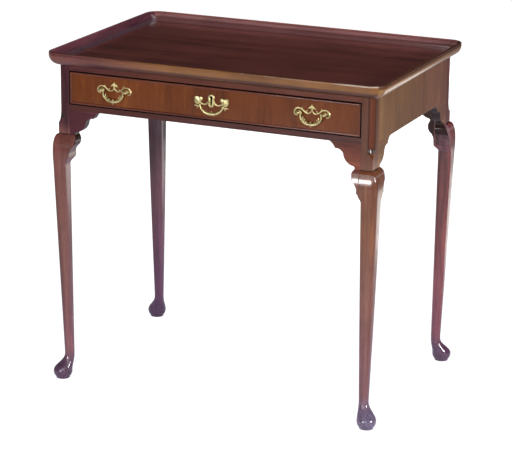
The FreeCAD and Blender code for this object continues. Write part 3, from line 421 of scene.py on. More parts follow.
def gap_shade(finish, base):
    """Painted shade blackens the beads' outer sides, which look into the gap round the drawer."""
    place = finish.place()
    across = finish.axis(finish.vector("ABSOLUTE", place), "X")
    height = finish.axis(place, "Z")
    end, top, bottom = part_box("bead_right")[1].x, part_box("bead_top")[1].z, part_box("bead_bottom")[0].z
    sides = finish.span(across, end - 0.0008, end - 0.0004)
    over = finish.span(height, top - 0.0008, top - 0.0004)
    under = finish.fade(height, bottom + 0.0004, bottom + 0.0008)
    return finish.mix((sides + over + under) * 0.7, base, PAINTED_SHADE)


def opening_shade_and_tone(finish, base):
    """Painted shade blackens the rails' faces inside the drawer's opening; the upper rail pales to the right.
    """
    place = finish.place()
    height = finish.axis(place, "Z")
    top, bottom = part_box("front_top_rail")[0].z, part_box("front_bottom_rail")[1].z
    upper = finish.span(height, bottom, top)
    left = finish.fade(finish.axis(place, "X"), -0.3, -0.1)
    base = finish.tint(upper, base, UPPER_RAIL)
    base = finish.tint(upper * left, base, UPPER_RAIL_LEFT)
    inside = finish.span(height, bottom - 0.0008, bottom - 0.0003)
    above = finish.fade(height, top + 0.0003, top + 0.0008)
    return finish.mix(inside * above, base, PAINTED_SHADE)


def tray_shade_and_wear(finish, base):
    """Painted shade along the line where the field meets the foot of the rim's cove, in patches, and a lip
    worn pale.
    """
    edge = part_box("top_board")[1]
    place = finish.place()
    spot = finish.vector("ABSOLUTE", place)
    patchy = finish.noise(place, 45.0, 3.0)
    ends = finish.span(finish.axis(spot, "X"), edge.x - 0.003, edge.x - 0.0005)
    sides = finish.span(finish.axis(spot, "Y"), edge.y - 0.003, edge.y - 0.0005)
    height = finish.axis(place, "Z")
    foot = finish.fade(height, edge.z + 0.0008, edge.z + 0.0045)
    lip = finish.span(height, RIM_TOP - 0.0016, RIM_TOP - 0.0004)
    return finish.mix((ends + sides) * foot * (0.3 + patchy * 0.8), finish.tint(lip, base, WORN_LIP), CORNER_SHADE)


def field_tone_and_shade(finish, base):
    """The field is a little paler towards the back, with painted shade along its back edge."""
    depth = finish.axis(finish.place(), "Y")
    pale = finish.tint(finish.span(depth, 0.03, 0.21), base, FIELD_BACK)
    return tray_shade_and_wear(finish, finish.tint(finish.span(depth, 0.165, 0.2), pale, FIELD_BACK_EDGE_SHADE))


def back_rim_shade_and_wear(finish, base):
    """The back moulding's cove has a painted highlight above and painted shade in its middle."""
    height = finish.axis(finish.place(), "Z")
    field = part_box("top_board")[1].z
    upper = finish.span(height, field + 0.006, field + 0.0085)
    middle = finish.span(height, field + 0.003, field + 0.0045) * finish.fade(upper, 0.0, 1.0)
    upper = upper * finish.fade(height, field + 0.0115, field + 0.0135)
    shaded = finish.tint(upper, tray_shade_and_wear(finish, base), BACK_COVE_HIGHLIGHT)
    return finish.tint(middle, shaded, BACK_COVE_SHADE)


def left_rim_shade_and_wear(finish, base):
    """The left moulding's cove has painted shade below, and painted shade at its front end."""
    place = finish.place()
    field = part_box("top_board")[1].z
    below = finish.fade(finish.axis(place, "Z"), field + 0.001, field + 0.008)
    front = finish.fade(finish.axis(place, "Y"), -0.238, -0.215)
    shaded = finish.tint(below, tray_shade_and_wear(finish, base), LEFT_COVE_FOOT_SHADE)
    return finish.mix(front * 0.5, shaded, LEFT_RIM_END_SHADE)


def front_rim_shading(finish, base):
    """The front moulding is redder towards its left end, with painted shade below, a painted highlight on its
    lip at its right corner and a painted reflection at its left end.
    """
    place = finish.place()
    along = finish.axis(place, "X")
    height = finish.axis(place, "Z")
    under = finish.fade(height, 0.692, 0.698) * finish.span(along, -0.3, -0.24)
    corner = finish.span(along, 0.26, 0.31) * finish.span(height, RIM_TOP - 0.003, RIM_TOP - 0.001)
    shaded = finish.tint(under, base, FRONT_RIM_UNDER_SHADE)
    shaded = finish.mix(corner * 0.6, shaded, FRONT_RIM_CORNER_HIGHLIGHT)
    shaded = finish.tint(finish.fade(along, -0.32, -0.05), shaded, FRONT_RIM_LEFT)
    return finish.tint(finish.fade(along, -0.34, -0.27), shaded, FRONT_RIM_END_REFLECTION)


def right_rim_shade(finish, base):
    """The right moulding has painted shade along its lip."""
    lip = finish.span(finish.axis(finish.place(), "Z"), RIM_TOP - 0.009, RIM_TOP - 0.005)
    return finish.tint(lip, base, RIGHT_RIM_LIP_SHADE)


def post_tone_and_shade(finishes, place):
    """Redder hollows down the posts as painted bounce light, painted shade along their edges, in the drawer's
    gap, in their stops and at the knee's shoulder, darker and bluer feet, and one darker post.
    """
    dark = place == "front_left"
    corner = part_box("right_rail")[1].x, -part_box("front_top_rail")[0].y
    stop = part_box("front_bottom_rail")[0].z - HOLLOW_STOP
    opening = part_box("bead_right")[1].x + DRAWER_GAP
    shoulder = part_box("front_ear_right")[1].z
    post_tint = POST
    if dark:
        post_tint = tuple(one / other for one, other in zip(finishes.dark_leg, finishes.legs))
    stain_and_sheen = tuple(part * tint for part, tint in zip(finishes.feet, FOOT_TINTS[place]))

    def wear_and_shade(finish, base):
        height = finish.axis(finish.place(), "Z")
        base = finish.tint(1.0, base, LEG_TINTS[place])
        base = finish.tint(finish.fade(height, *SHANK_ENDS), base, SHANK_TONE_AND_SHEEN)
        base = finish.tint(finish.span(height, *KNEE_STARTS), base, UPPER_TINTS[place])
        base = finish.tint(finish.span(height, *POST_STARTS), base, post_tint)
        plan = finish.vector("ABSOLUTE", finish.place((1.0, 1.0, 0.0)))
        post = finish.span(height, stop, stop + 0.008)
        reach = finish.vector("DISTANCE", plan, (*corner, 0.0), "Value")
        # Redder hollows: painted bounce light between their walls
        if not dark:
            inside = finish.fade(reach, HOLLOW_RADIUS, HOLLOW_RADIUS + 0.0004) * post
            base = finish.mix(inside * 0.7, base, tuple(finishes.hollow))
        # Feet darker in a mottled stain, and bluer as a painted sheen
        worn = finish.span(finish.noise(finish.place(), 260.0, 4.0, 0.7), 0.42, 0.58)
        stained_and_sheened = finish.mix(worn, tuple(part * 0.6 for part in stain_and_sheen), tuple(part * 1.2 for part in stain_and_sheen))
        base = finish.mix(finish.span(height, *STAIN_AND_SHEEN_ENDS, 0.8, 0.0), base, stained_and_sheened)
        # Painted shade along the hollows' edges, in the drawer's gap, in the hollows' stops and at the knee's
        # shoulder
        front = finish.vector("DISTANCE", plan, (corner[0] - HOLLOW_RADIUS, corner[1], 0.0), "Value")
        side = finish.vector("DISTANCE", plan, (corner[0], corner[1] - HOLLOW_RADIUS, 0.0), "Value")
        lines = finish.fade(front, 0.0004, 0.0024) + finish.fade(side, 0.0004, 0.0024)
        gap = finish.fade(finish.axis(plan, "X"), opening + 0.0003, opening + 0.0008)
        pocket = (finish.fade(reach, HOLLOW_RADIUS, HOLLOW_RADIUS + 0.0015)
                  * finish.span(height, stop - 0.001, stop + 0.003)
                  * finish.fade(height, stop + 0.009, stop + 0.013))
        joint = (finish.span(height, shoulder - 0.002, shoulder)
                 * finish.fade(height, shoulder + 0.0006, shoulder + 0.0026))
        return finish.mix((lines * 0.75 + gap) * post + pocket * 0.8 + joint * 0.5, base, PAINTED_SHADE)
    return wear_and_shade


def post_polish(finishes):
    """The posts carry less polish than the legs below them."""
    def weight(finish):
        height = finish.axis(finish.place(), "Z")
        return finish.span(height, *POST_STARTS, finishes.leg_polish, finishes.polish)
    return weight


def ear_polish(finishes):
    """The polish is rubbed off the ends of the front ears."""
    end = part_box("front_ear_right")[0].x

    def weight(finish):
        across = finish.axis(finish.vector("ABSOLUTE", finish.place()), "X")
        return finish.span(across, end + 0.001, end + 0.008, 0.0, finishes.leg_polish)
    return weight


def bracket_shade(finish, base):
    """Painted shade on the inner faces, and on the sawn edge that faces the next leg."""
    spot = finish.vector("ABSOLUTE", finish.place())
    within = finish.fade(finish.axis(spot, "X"), 0.329, 0.333)
    inner = within * finish.fade(finish.axis(spot, "Y"), 0.2075, 0.2115)
    sawn = finish.node("ShaderNodeAttribute", {"attribute_name": "sawn_edge"}, output="Fac")
    above = finish.span(finish.axis(spot, "Z"), 0.511, 0.519, 0.25, 0.93)
    return finish.mix(sawn * above, finish.mix(inner * 0.9, base, PAINTED_SHADE), PAINTED_SHADE)


def rail_wear(finish, base):
    """The side rails are redder towards the back."""
    return finish.tint(finish.span(finish.axis(finish.place(), "Y"), -0.12, 0.2), base, SIDE_RAIL_BACK)


def right_bracket_tone_and_shade(finish, base):
    """The right brackets follow their rail's tone, with the brackets' painted shade."""
    return bracket_shade(finish, rail_wear(finish, base))


def mark_sawn_edge(made, along):
    """Marks the faces of a bracket or ear that look along its rail to the next leg."""
    axis = "XYZ".index(along)
    mesh = made.data
    mark = mesh.attributes.new("sawn_edge", "FLOAT", "FACE")
    for face, item in zip(mesh.polygons, mark.data):
        spot = face.center[axis]
        item.value = 1.0 if face.normal[axis] * spot < -SAWN_TILT * abs(spot) else 0.0


@made_once
def oak(name, along, tone):
    """Bare quarter-sawn oak, dusty and dry."""
    tone = tuple(tone)
    finish = Finish(name)
    grain = finish.place(grain_scale(along, 0.05))
    streaks = finish.noise(grain, 140.0, 4.0, 0.65)
    bands = finish.noise(grain, 22.0, 2.0, 0.5, 0.4)
    body = finish.ramp(bands * 0.5 + streaks * 0.5, [
        (0.32, tuple(part * 0.55 for part in tone)), (0.5, tone),
        (0.68, tuple(min(1.0, part * 1.35) for part in tone))])
    pores = finish.span(finish.noise(finish.place(grain_scale(along, 0.03)), 1200.0, 1.0), 0.6, 0.7)
    base = finish.mix(pores * 0.5, body, tuple(part * 0.35 for part in tone))
    surface = finish.bump(streaks - pores, 0.0002, 0.5)
    return finish.set(Base_Color=base, Roughness=0.66 + streaks * 0.16, Normal=surface,
                      Specular_IOR_Level=0.3)


@made_once
def cast_brass(name, tone, tarnish):
    """Old lacquered brass, dull in patches, with fine scratches."""
    finish = Finish(name)
    patches = finish.noise(finish.place(), 160.0, 4.0, 0.6)
    scratches = finish.noise(finish.place((1.0, 1.0, 0.25)), 2600.0, 2.0)
    base = finish.mix(finish.span(patches, 0.42, 0.75, 0.0, 0.75), tuple(tone), tuple(tarnish))
    surface = finish.bump(patches + scratches * 0.2, 0.00022, 0.5)
    return finish.set(Base_Color=base, Metallic=1.0, Normal=surface,
                      Roughness=0.24 + patches * 0.18 + scratches * 0.06)


@made_once
def black_iron(name, tone):
    """Forged iron, brown with age."""
    tone = tuple(tone)
    finish = Finish(name)
    patches = finish.noise(finish.place(), 210.0, 5.0, 0.65)
    rust = linear(92, 58, 38)
    base = finish.mix(finish.span(patches, 0.5, 0.7, 0.0, 0.6), tone, rust)
    return finish.set(Base_Color=base, Metallic=0.75, Roughness=0.42 + patches * 0.3,
                      Normal=finish.bump(patches, 0.0003, 0.6))


def sight(recipe):
    """Whether a ray comes from the camera, and whether it comes by a mirror or glass."""
    camera = recipe.node("ShaderNodeLightPath", output="Is Camera Ray")
    rays = camera.socket.node.outputs
    return camera, Wire(recipe.tree, rays["Is Glossy Ray"]) + Wire(recipe.tree, rays["Is Transmission Ray"])


# Mesh helpers


def piece(name, mesh, material, body, slot, *nodes):
    """A finished object that rides on a body and stands for CAD nodes."""
    made = bpy.data.objects.new(name, mesh)
    bpy.context.scene.collection.objects.link(made)
    mesh.materials.clear()
    mesh.materials.append(material)
    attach(made, body)
    if nodes:
        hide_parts(*nodes)
    return made


def as_mesh(bm, name):
    mesh = bpy.data.meshes.new(name)
    bm.to_mesh(mesh)
    bm.free()
    return mesh


def soften(bm, degrees):
    """Smooth faces, with edges sharper than the angle kept crisp."""
    limit = math.radians(degrees)
    for face in bm.faces:
        face.smooth = True
    for edge in bm.edges:
        edge.smooth = edge.calc_face_angle(math.pi) < limit


def dressed(node, material, body, slot, softness=0.0, flat=True, crease=32):
    """A node's own shape, merged, with worn edges and a finish."""
    bm = bmesh.new()
    bm.from_mesh(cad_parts[node].data)
    bmesh.ops.remove_doubles(bm, verts=bm.verts, dist=WELD)
    if flat:
        bmesh.ops.dissolve_limit(bm, angle_limit=math.radians(FLAT_DEGREES), use_dissolve_boundaries=False,
                                 verts=bm.verts, edges=bm.edges, delimit=set())
    soften(bm, crease)
    mesh = as_mesh(bm, node + "_finished")
    made = piece(node + "_finished", mesh, material, body, slot, node)
    if softness:
        worn = made.modifiers.new("Worn edges", "BEVEL")
        worn.width = softness
        worn.segments = 2
        worn.limit_method = "ANGLE"
        worn.angle_limit = math.radians(crease)
        worn.harden_normals = True
    return made


def strand(points):
    """A tapering rod through points of x, z and radius, in millimetres, as a mesh at y = 0."""
    curve = bpy.data.curves.new("strand", "CURVE")
    curve.dimensions = "3D"
    curve.bevel_depth = MILLIMETRE
    curve.bevel_resolution = 3
    curve.resolution_u = 8
    curve.use_fill_caps = True
    spline = curve.splines.new("BEZIER")
    spline.bezier_points.add(len(points) - 1)
    for knot, (x, z, radius) in zip(spline.bezier_points, points):
        knot.co = (x * MILLIMETRE, 0, z * MILLIMETRE)
        knot.radius = radius
        knot.handle_left_type = knot.handle_right_type = "AUTO"
    holder = bpy.data.objects.new("strand", curve)
    mesh = bpy.data.meshes.new_from_object(holder)
    bpy.data.objects.remove(holder)
    bpy.data.curves.remove(curve)
    return mesh


def blob(x, z, wide, tall, thick):
    """A flattened ball of metal, in millimetres."""
    bm = bmesh.new()
    bmesh.ops.create_icosphere(bm, subdivisions=4, radius=MILLIMETRE)
    bmesh.ops.scale(bm, verts=bm.verts, vec=(wide, thick, tall))
    bmesh.ops.translate(bm, verts=bm.verts, vec=(x * MILLIMETRE, 0, z * MILLIMETRE))
    return as_mesh(bm, "blob")


def both_sides(points):
    """A strand and its mirror image."""
    return [strand(points), strand([(-x, z, radius) for x, z, radius in points])]


def cast(name, parts, grain, softness=4):
    """Strands and balls run together as one casting."""
    bm = bmesh.new()
    for part in parts:
        bm.from_mesh(part)
        bpy.data.meshes.remove(part)
    rough = as_mesh(bm, name)
    core = bpy.data.objects.new(name, rough)
    bpy.context.scene.collection.objects.link(core)
    fuse = core.modifiers.new("Fuse", "REMESH")
    fuse.mode = "VOXEL"
    fuse.voxel_size = grain
    fuse.use_smooth_shade = True
    soft = core.modifiers.new("Soften", "SMOOTH")
    soft.factor = 0.5
    soft.iterations = softness
    solid = bpy.data.meshes.new_from_object(core.evaluated_get(bpy.context.evaluated_depsgraph_get()))
    bpy.data.objects.remove(core)
    bpy.data.meshes.remove(rough)
    return solid


def set_down(mesh, place, relief=None):
    """Puts a casting in its place, and with a relief cuts its back flat against the wood."""
    bm = bmesh.new()
    bm.from_mesh(mesh)
    if relief is not None:
        bmesh.ops.translate(bm, verts=bm.verts, vec=(0, -relief, 0))
        cut = bmesh.ops.bisect_plane(bm, geom=bm.verts[:] + bm.edges[:] + bm.faces[:], dist=1e-7,
                                     plane_co=(0, 0, 0), plane_no=(0, 1, 0), clear_outer=True)
        rim = [part for part in cut["geom_cut"] if isinstance(part, bmesh.types.BMEdge)]
        filled = bmesh.ops.triangle_fill(bm, use_beauty=True, edges=rim)
        backs = [part for part in filled["geom"] if isinstance(part, bmesh.types.BMFace)]
        for face in backs:
            face.normal_update()
        bmesh.ops.reverse_faces(bm, faces=[face for face in backs if face.normal.y < 0])
        for edge in rim:
            edge.smooth = False
    for face in bm.faces:
        face.smooth = True
    bmesh.ops.translate(bm, verts=bm.verts, vec=place)
    bm.to_mesh(mesh)
    bm.free()
    return mesh


def fitting_place(node):
    """The middle of a brass fitting on the drawer's face: its own middle across, the pins' level."""
    low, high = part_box(node)
    pin_low, pin_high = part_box("escutcheon_pins")
    return Vector(((low.x + high.x) / 2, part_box("drawer_front")[0].y, (pin_low.z + pin_high.z) / 2))


def bracket_wood(finishes, side, place, along):
    """The timber of a bracket: dark beside the dark post, and paler under the right rail."""
    name, tone, wear_and_shade = "bracket_grain_" + along.lower(), finishes.bracket, bracket_shade
    if (side, place) in (("front", "left"), ("left", "front")):
        name, tone = "dark_" + name, finishes.dark_leg
    elif side == "right":
        name, tone, wear_and_shade = "pale_bracket_grain", finishes.side_rails, right_bracket_tone_and_shade
    return mahogany(name, along, tone, finishes.polish, wear_and_shade=wear_and_shade)


def ear_wood(finishes, side, place):
    """The timber of an ear: polished like the knees at the front, and dull at the back."""
    if "back" in (side, place):
        return mahogany("dull_ear_grain", "Z", finishes.dull_ear, 0.0, 0.12, wear_and_shade=bracket_shade)
    return mahogany("ear_grain", "Z", finishes.legs, ear_polish(finishes), wear_and_shade=bracket_shade, **LEG_SURFACE)


def fittings_brass(finishes):
    """The brass that the handles, bails and keyhole plate share."""
    return cast_brass("cast_brass", finishes.brass, finishes.brass_tarnish)


# Operators, one for each group of like pieces


class DressTop(bpy.types.Operator):
    """Tray field and its four lengths of mitred moulding"""
    bl_idname = "tea_table.dress_top"
    bl_label = "Tray Top"

    def execute(self, context):
        finishes = context.scene.tea_table_finishes
        board = mahogany("field_grain", "X", finishes.field, finishes.polish, shift=0.7, figure=34.0,
                         spread=0.27, wear_and_shade=field_tone_and_shade)
        dressed("top_board", board, "frame", "mahogany_top")
        rims = (("front", "X", finishes.front_rim, front_rim_shading),
                ("right", "Y", finishes.front_rim, right_rim_shade),
                ("back", "X", finishes.rim, back_rim_shade_and_wear), ("left", "Y", finishes.left_rim, left_rim_shade_and_wear))
        for side, along, tone, wear_and_shade in rims:
            wood = mahogany(side + "_rim_grain", along, tone, finishes.polish, shift=0.7, wear_and_shade=wear_and_shade)
            dressed("rim_" + side, wood, "frame", "mahogany_top", flat=False)
        return {"FINISHED"}


class DressLegs(bpy.types.Operator):
    """Four legs, each with its post, knee and foot"""
    bl_idname = "tea_table.dress_legs"
    bl_label = "Legs"

    def execute(self, context):
        finishes = context.scene.tea_table_finishes
        for place in LEG_TINTS:
            wood = mahogany("leg_grain_" + place, "Z", finishes.legs, post_polish(finishes),
                            wear_and_shade=post_tone_and_shade(finishes, place), **LEG_SURFACE)
            dressed("leg_" + place, wood, "frame", "mahogany", flat=False, crease=28)
        return {"FINISHED"}


class DressRails(bpy.types.Operator):
    """Rails round the frame"""
    bl_idname = "tea_table.dress_rails"
    bl_label = "Rails"

    def execute(self, context):
        finishes = context.scene.tea_table_finishes
        front = mahogany("front_rail_grain", "X", finishes.front_rails, finishes.polish, shift=0.4,
                         wear_and_shade=opening_shade_and_tone)
        for node in ("front_top_rail", "front_bottom_rail"):
            dressed(node, front, "frame", "mahogany", finishes.edge_softness)
        veneer = mahogany("rail_veneer", "Z", finishes.side_rails, finishes.polish, shift=0.4, spread=0.3,
                          wear_and_shade=rail_wear, **VENEER)
        for node in ("back_rail", "left_rail", "right_rail"):
            dressed(node, veneer, "frame", "mahogany", finishes.edge_softness)
        return {"FINISHED"}


class DressBrackets(bpy.types.Operator):
    """Shaped brackets under the rails and the ears beside the knees"""
    bl_idname = "tea_table.dress_brackets"
    bl_label = "Brackets and Ears"

    def execute(self, context):
        finishes = context.scene.tea_table_finishes
        ends, sides = ("front", "back"), ("left", "right")
        for along, rails, places in (("X", ends, sides), ("Y", sides, ends)):
            for side, place in product(rails, places):
                wood = bracket_wood(finishes, side, place, along)
                made = dressed(f"{side}_bracket_{place}", wood, "frame", "mahogany", finishes.edge_softness)
                mark_sawn_edge(made, along)
                wood = ear_wood(finishes, side, place)
                made = dressed(f"{side}_ear_{place}", wood, "frame", "mahogany", flat=False)
                mark_sawn_edge(made, along)
        return {"FINISHED"}


class DressDrawer(bpy.types.Operator):
    """Drawer front with its beads, and the oak box behind it"""
    bl_idname = "tea_table.dress_drawer"
    bl_label = "Drawer"

    def execute(self, context):
        finishes = context.scene.tea_table_finishes
        front = mahogany("drawer_veneer", "Z", finishes.drawer, finishes.polish, shift=1.3, spread=0.26,
                         wear_and_shade=bead_shade, **VENEER)
        dressed("drawer_front", front, "drawer", "mahogany_drawer")
        for node, along in (("bead_top", "X"), ("bead_bottom", "X"), ("bead_left", "Z"), ("bead_right", "Z")):
            wood = mahogany("bead_grain_" + along.lower(), along, finishes.bead, finishes.polish, shift=2.1,
                            wear_and_shade=gap_shade)
            dressed(node, wood, "drawer", "mahogany_drawer")
        boards = {"drawer_left_side": "Y", "drawer_right_side": "Y", "drawer_back": "X", "drawer_bottom": "X"}
        for node, along in boards.items():
            lining = oak("oak_grain_" + along.lower(), along, finishes.oak)
            dressed(node, lining, "drawer", "oak", finishes.edge_softness)
        return {"FINISHED"}


class DressDrawerWay(bpy.types.Operator):
    """Runners, kickers, guides, stops and glue blocks inside the frame"""
    bl_idname = "tea_table.dress_drawer_way"
    bl_label = "Drawer Way"

    def execute(self, context):
        finishes = context.scene.tea_table_finishes
        for side in ("left", "right"):
            for kind in ("runner", "kicker", "guide"):
                dressed(f"{side}_{kind}", oak("oak_grain_y", "Y", finishes.oak), "frame", "oak",
                        finishes.edge_softness)
        for node in ("drawer_stops", "glue_blocks"):
            dressed(node, oak("oak_grain_x", "X", finishes.oak), "frame", "oak", finishes.edge_softness)
        return {"FINISHED"}


class DressLock(bpy.types.Operator):
    """Iron lock behind the keyhole"""
    bl_idname = "tea_table.dress_lock"
    bl_label = "Lock"

    def execute(self, context):
        finishes = context.scene.tea_table_finishes
        iron = black_iron("lock_iron", finishes.iron)
        for node, body in (("lock_case", "drawer"), ("lock_screws", "drawer"), ("lock_bolt", "bolt")):
            dressed(node, iron, body, "iron", finishes.edge_softness)
        return {"FINISHED"}


class MakeHandles(bpy.types.Operator):
    """Brass handle plates with their bosses and nuts"""
    bl_idname = "tea_table.make_handles"
    bl_label = "Handle Plates"

    def execute(self, context):
        brass = fittings_brass(context.scene.tea_table_finishes)
        sizes = context.scene.tea_table_brass
        for side in ("left", "right"):
            node = "handle_plate_" + side
            plate = set_down(cast(node + "_cast", self.strands(), sizes.grain), fitting_place(node),
                             sizes.relief)
            piece(node + "_cast", plate, brass, "drawer", "brass", node)
        for node in ("handle_posts", "handle_nuts"):
            dressed(node, brass, "drawer", "brass")
        return {"FINISHED"}

    def strands(self):
        """Scrolls round the bosses, a dip on each side and a leaf finial."""
        scroll = [(33.2, -6.6, 1.2), (36.4, -4.2, 1.7), (37.2, 0.5, 1.9), (35.3, 5.2, 1.9), (31.0, 8.0, 1.8),
                  (26.0, 8.3, 1.7), (21.5, 6.6, 1.6), (17.0, 3.2, 1.6), (12.5, 0.2, 1.7), (7.5, -0.8, 1.7),
                  (3.6, 1.0, 1.6), (0.9, 4.6, 1.5)]
        bud = [(32.8, -7.0, 1.9), (31.2, -5.2, 1.5)]
        hook = [(21.5, 6.6, 1.3), (20.6, 9.2, 1.0), (22.6, 10.6, 0.6)]
        tendril = [(12.5, 0.2, 1.4), (11.2, 3.6, 1.0), (8.4, 4.6, 0.6)]
        parts = both_sides(scroll) + both_sides(bud) + both_sides(hook) + both_sides(tendril)
        parts += [strand([(0.0, 2.6, 1.5), (0.0, 9.0, 1.8), (0.0, 14.0, 1.5), (0.0, 17.9, 0.3)])]
        parts += both_sides([(0.4, 10.6, 1.4), (5.0, 10.2, 1.6), (9.4, 7.8, 0.5)])
        parts += both_sides([(0.2, 15.4, 0.8), (3.6, 12.4, 1.5), (6.4, 10.4, 1.1)])
        for side in (-1, 1):
            parts += [blob(side * 27.5, 0, 4.3, 4.3, 2.2), blob(side * 31.6, 0.6, 3.2, 1.5, 1.5)]
        return parts


class MakeBails(bpy.types.Operator):
    """The two bails that swing on their bosses"""
    bl_idname = "tea_table.make_bails"
    bl_label = "Bails"

    def execute(self, context):
        brass = fittings_brass(context.scene.tea_table_finishes)
        sizes = context.scene.tea_table_brass
        for side in ("left", "right"):
            node = "bail_" + side
            place = fitting_place(node)
            place.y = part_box("handle_posts")[0].y + BAIL_SEAT
            bail = set_down(cast(node + "_cast", self.strands(), sizes.grain), place)
            piece(node + "_cast", bail, brass, side + "_bail", "brass", node)
        return {"FINISHED"}

    def strands(self):
        """A swan-neck rod on two pins, full in the middle, with sprigs inside and a drop below."""
        neck = [(21.4, 0.0, 1.7), (22.2, -4.5, 1.5), (21.8, -9.5, 1.8), (18.8, -14.8, 1.7),
                (13.0, -19.2, 2.1), (6.4, -21.3, 2.6), (0.0, -21.8, 3.0)]
        parts = both_sides(neck)
        parts += both_sides([(21.0, 0.0, 1.3), (26.4, 0.0, 1.3)])
        parts += both_sides([(18.6, -14.6, 1.1), (16.8, -10.2, 1.2), (16.2, -5.2, 0.5)])
        parts += both_sides([(17.0, -15.6, 1.0), (13.6, -13.6, 1.0), (12.6, -10.6, 0.5)])
        parts += both_sides([(12.6, -18.8, 1.2), (9.4, -17.0, 1.2), (6.4, -17.4, 0.6)])
        parts += [strand([(0.0, -20.4, 1.5), (0.0, -17.4, 1.3), (0.0, -15.4, 0.4)]),
                  strand([(0.0, -23.0, 2.2), (0.0, -25.4, 1.3), (0.0, -27.8, 0.3)])]
        for side in (-1, 1):
            parts += [blob(side * 21.4, 0, 2.0, 2.0, 2.0), blob(side * 21.9, -9.5, 2.3, 1.5, 2.2)]
        return parts


class MakeKeyholePlate(bpy.types.Operator):
    """Pierced brass plate round the keyhole, with its two pins"""
    bl_idname = "tea_table.make_keyhole_plate"
    bl_label = "Keyhole Plate"

    def execute(self, context):
        brass = fittings_brass(context.scene.tea_table_finishes)
        sizes = context.scene.tea_table_brass
        plate = set_down(cast("escutcheon_cast", self.strands(), sizes.grain), fitting_place("escutcheon"),
                         sizes.relief)
        piece("escutcheon_cast", plate, brass, "drawer", "brass", "escutcheon")
        dressed("escutcheon_pins", brass, "drawer", "brass")
        return {"FINISHED"}

    def strands(self):
        """A shield round the keyhole, an arm and two lobes on each side, and a crescent below."""
        shield = [(0.0, 13.6, 2.2), (3.6, 12.2, 2.3), (4.9, 8.6, 2.4), (4.2, 4.6, 2.6),
                  (3.9, 0.6, 2.5), (4.3, -3.4, 2.7), (3.0, -7.4, 3.2), (0.0, -9.4, 3.4)]
        arm = [(24.0, -3.4, 1.9), (19.4, -5.6, 1.8), (14.4, -6.3, 1.8), (9.6, -4.0, 1.8), (5.4, 1.0, 2.0)]
        crescent = [(25.4, -7.6, 2.0), (23.6, -13.2, 2.2), (19.2, -18.6, 2.7), (11.4, -23.6, 3.5),
                    (0.0, -25.7, 3.8)]
        parts = both_sides(shield) + both_sides(arm) + both_sides(crescent)
        parts += both_sides([(25.6, -8.4, 1.8), (30.6, -11.2, 1.7), (34.4, -10.0, 1.5), (38.0, -11.4, 0.6)])
        parts += both_sides([(27.0, -10.2, 1.6), (29.8, -13.2, 1.4), (31.0, -16.2, 0.5)])
        parts += [strand([(0.0, -23.0, 1.8), (0.0, -20.8, 1.2), (0.0, -19.2, 0.4)])]
        for side in (-1, 1):
            parts += [blob(side * 30.4, 0.4, 7.4, 8.4, 1.8), blob(side * 23.2, 4.6, 4.4, 4.6, 1.7),
                      blob(side * 33.8, 5.0, 4.2, 4.4, 1.7)]
        return parts


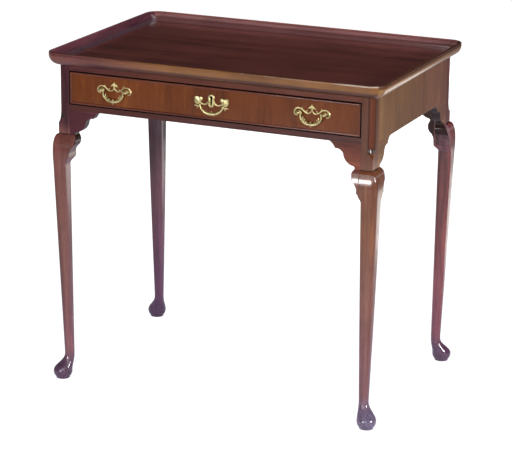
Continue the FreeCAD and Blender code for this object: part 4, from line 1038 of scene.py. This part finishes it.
class SetStage(bpy.types.Operator):
    """Floor, room, lights and camera"""
    bl_idname = "tea_table.set_stage"
    bl_label = "Stage"

    def execute(self, context):
        scene = context.scene
        settings = scene.tea_table_stage
        scene.view_settings.view_transform = "Standard"
        self.lay_floor(scene, settings)
        self.light_room(scene, settings)
        for name, softbox in SOFTBOXES.items():
            self.hang_softbox(scene, name + "_softbox", getattr(settings, name), *softbox)
        self.place_camera(scene, settings)
        return {"FINISHED"}

    def lay_floor(self, scene, settings):
        bm = bmesh.new()
        bmesh.ops.create_circle(bm, cap_ends=True, segments=96, radius=settings.floor_radius)
        bmesh.ops.translate(bm, verts=bm.verts, vec=(0, 0, -FLOOR_DROP))
        mesh = as_mesh(bm, "floor")
        floor = bpy.data.objects.new("floor", mesh)
        scene.collection.objects.link(floor)
        finish = Finish("pale_floor")
        speckle = finish.noise(finish.place(), 30.0, 3.0)
        tone = tuple(settings.floor_colour)
        base = finish.mix(speckle * 0.1, tone, tuple(part * 0.96 for part in tone))
        finish.set(Base_Color=base, Roughness=0.9, Specular_IOR_Level=0.0)
        camera, mirrored = sight(finish)
        # To the camera the floor is evenly white; to mirrors it glows in patches, bluer near the table, as
        # painted reflections
        spot = finish.place()
        near = BARE_FLOOR_LEVEL
        for place, inner, outer, level in MIRRORED_FLOOR_GLOWS:
            reach = finish.vector("DISTANCE", spot, place, "Value")
            near = near + finish.span(reach, inner, outer, level, 0.0)
        middle = finish.vector("LENGTH", spot, output="Value")
        open_floor = finish.span(middle, 0.9, 2.0, 0.92, 1.0)
        bluer = finish.mix(finish.span(middle, 0.5, 1.3), NEAR_FLOOR, FAR_FLOOR)
        tint = finish.mix(mirrored, (1.0, 1.0, 1.0), bluer)
        glow = finish.node("ShaderNodeEmission", {}, {"Color": tint,
                                                      "Strength": camera * open_floor + mirrored * near})
        lit = Wire(finish.tree, finish.shader.outputs[0])
        both = finish.node("ShaderNodeAddShader", {}, {0: lit, 1: glow})
        finish.tree.links.new(both.socket, finish.tree.nodes["Material Output"].inputs["Surface"])
        mesh.materials.append(finish.material)

    def light_room(self, scene, settings):
        room = bpy.data.worlds.new("studio_room")
        room.use_nodes = True
        scene.world = room
        recipe = Recipe(room.node_tree)
        aim = recipe.node("ShaderNodeTexCoord", output="Generated")
        height = recipe.axis(aim, "Z")
        camera, mirrored = sight(recipe)
        skyline = recipe.fade(height, 0.0, SKYLINE)
        level = settings.room * (1 - mirrored * 0.6) + (1 - settings.room) * (camera + mirrored * skyline)
        sky = recipe.tree.nodes["Background"]
        sky.inputs["Color"].default_value = (1.0, 1.0, 1.0, 1.0)
        recipe.tree.links.new(level.socket, sky.inputs["Strength"])

    def hang_softbox(self, scene, name, power, place, width, height, mirrored, lights):
        lamp = bpy.data.lights.new(name, "AREA")
        lamp.shape = "RECTANGLE"
        lamp.size = width
        lamp.size_y = height
        lamp.energy = power
        box = bpy.data.objects.new(name, lamp)
        box.location = place
        aim = Vector(LIT_POINT) - Vector(place)
        box.rotation_euler = aim.to_track_quat("-Z", "Y").to_euler()
        box.visible_camera = False
        box.visible_glossy = mirrored
        box.visible_diffuse = lights
        scene.collection.objects.link(box)

    def place_camera(self, scene, settings):
        turn, lift, roll = settings.azimuth, settings.elevation, settings.roll
        back = Vector((math.sin(turn) * math.cos(lift), -math.cos(turn) * math.cos(lift), math.sin(lift)))
        right = Vector((math.cos(turn), math.sin(turn), 0))
        up = back.cross(right)
        across = right * math.cos(roll) + up * math.sin(roll)
        over = up * math.cos(roll) - right * math.sin(roll)
        lens = bpy.data.cameras.new("camera")
        lens.lens = settings.lens
        lens.sensor_fit = "HORIZONTAL"
        lens.sensor_width = 36.0
        camera = bpy.data.objects.new("camera", lens)
        place = Matrix((across, over, back)).transposed().to_4x4()
        place.translation = Vector(settings.target) + back * settings.distance
        camera.matrix_world = place
        scene.collection.objects.link(camera)
        scene.camera = camera


OPERATORS = (DressTop, DressLegs, DressRails, DressBrackets, DressDrawer, DressDrawerWay, DressLock,
             MakeHandles, MakeBails, MakeKeyholePlate, SetStage)


class TeaTablePanel(bpy.types.Panel):
    """Buttons for each group of pieces"""
    bl_idname = "VIEW3D_PT_tea_table"
    bl_label = "Tea Table"
    bl_space_type = "VIEW_3D"
    bl_region_type = "UI"
    bl_category = "Tea Table"

    def draw(self, context):
        for operator in OPERATORS:
            self.layout.operator(operator.bl_idname)


CLASSES = (TableFinishes, BrassSizes, StageSettings) + OPERATORS + (TeaTablePanel,)


def register():
    for part in CLASSES:
        bpy.utils.register_class(part)
    bpy.types.Scene.tea_table_finishes = PointerProperty(type=TableFinishes)
    bpy.types.Scene.tea_table_brass = PointerProperty(type=BrassSizes)
    bpy.types.Scene.tea_table_stage = PointerProperty(type=StageSettings)


def unregister():
    del bpy.types.Scene.tea_table_stage
    del bpy.types.Scene.tea_table_brass
    del bpy.types.Scene.tea_table_finishes
    for part in reversed(CLASSES):
        bpy.utils.unregister_class(part)


def main():
    register()
    for operator in OPERATORS:
        group, action = operator.bl_idname.split(".")
        getattr(getattr(bpy.ops, group), action)()


if __name__ == "__main__":
    main()
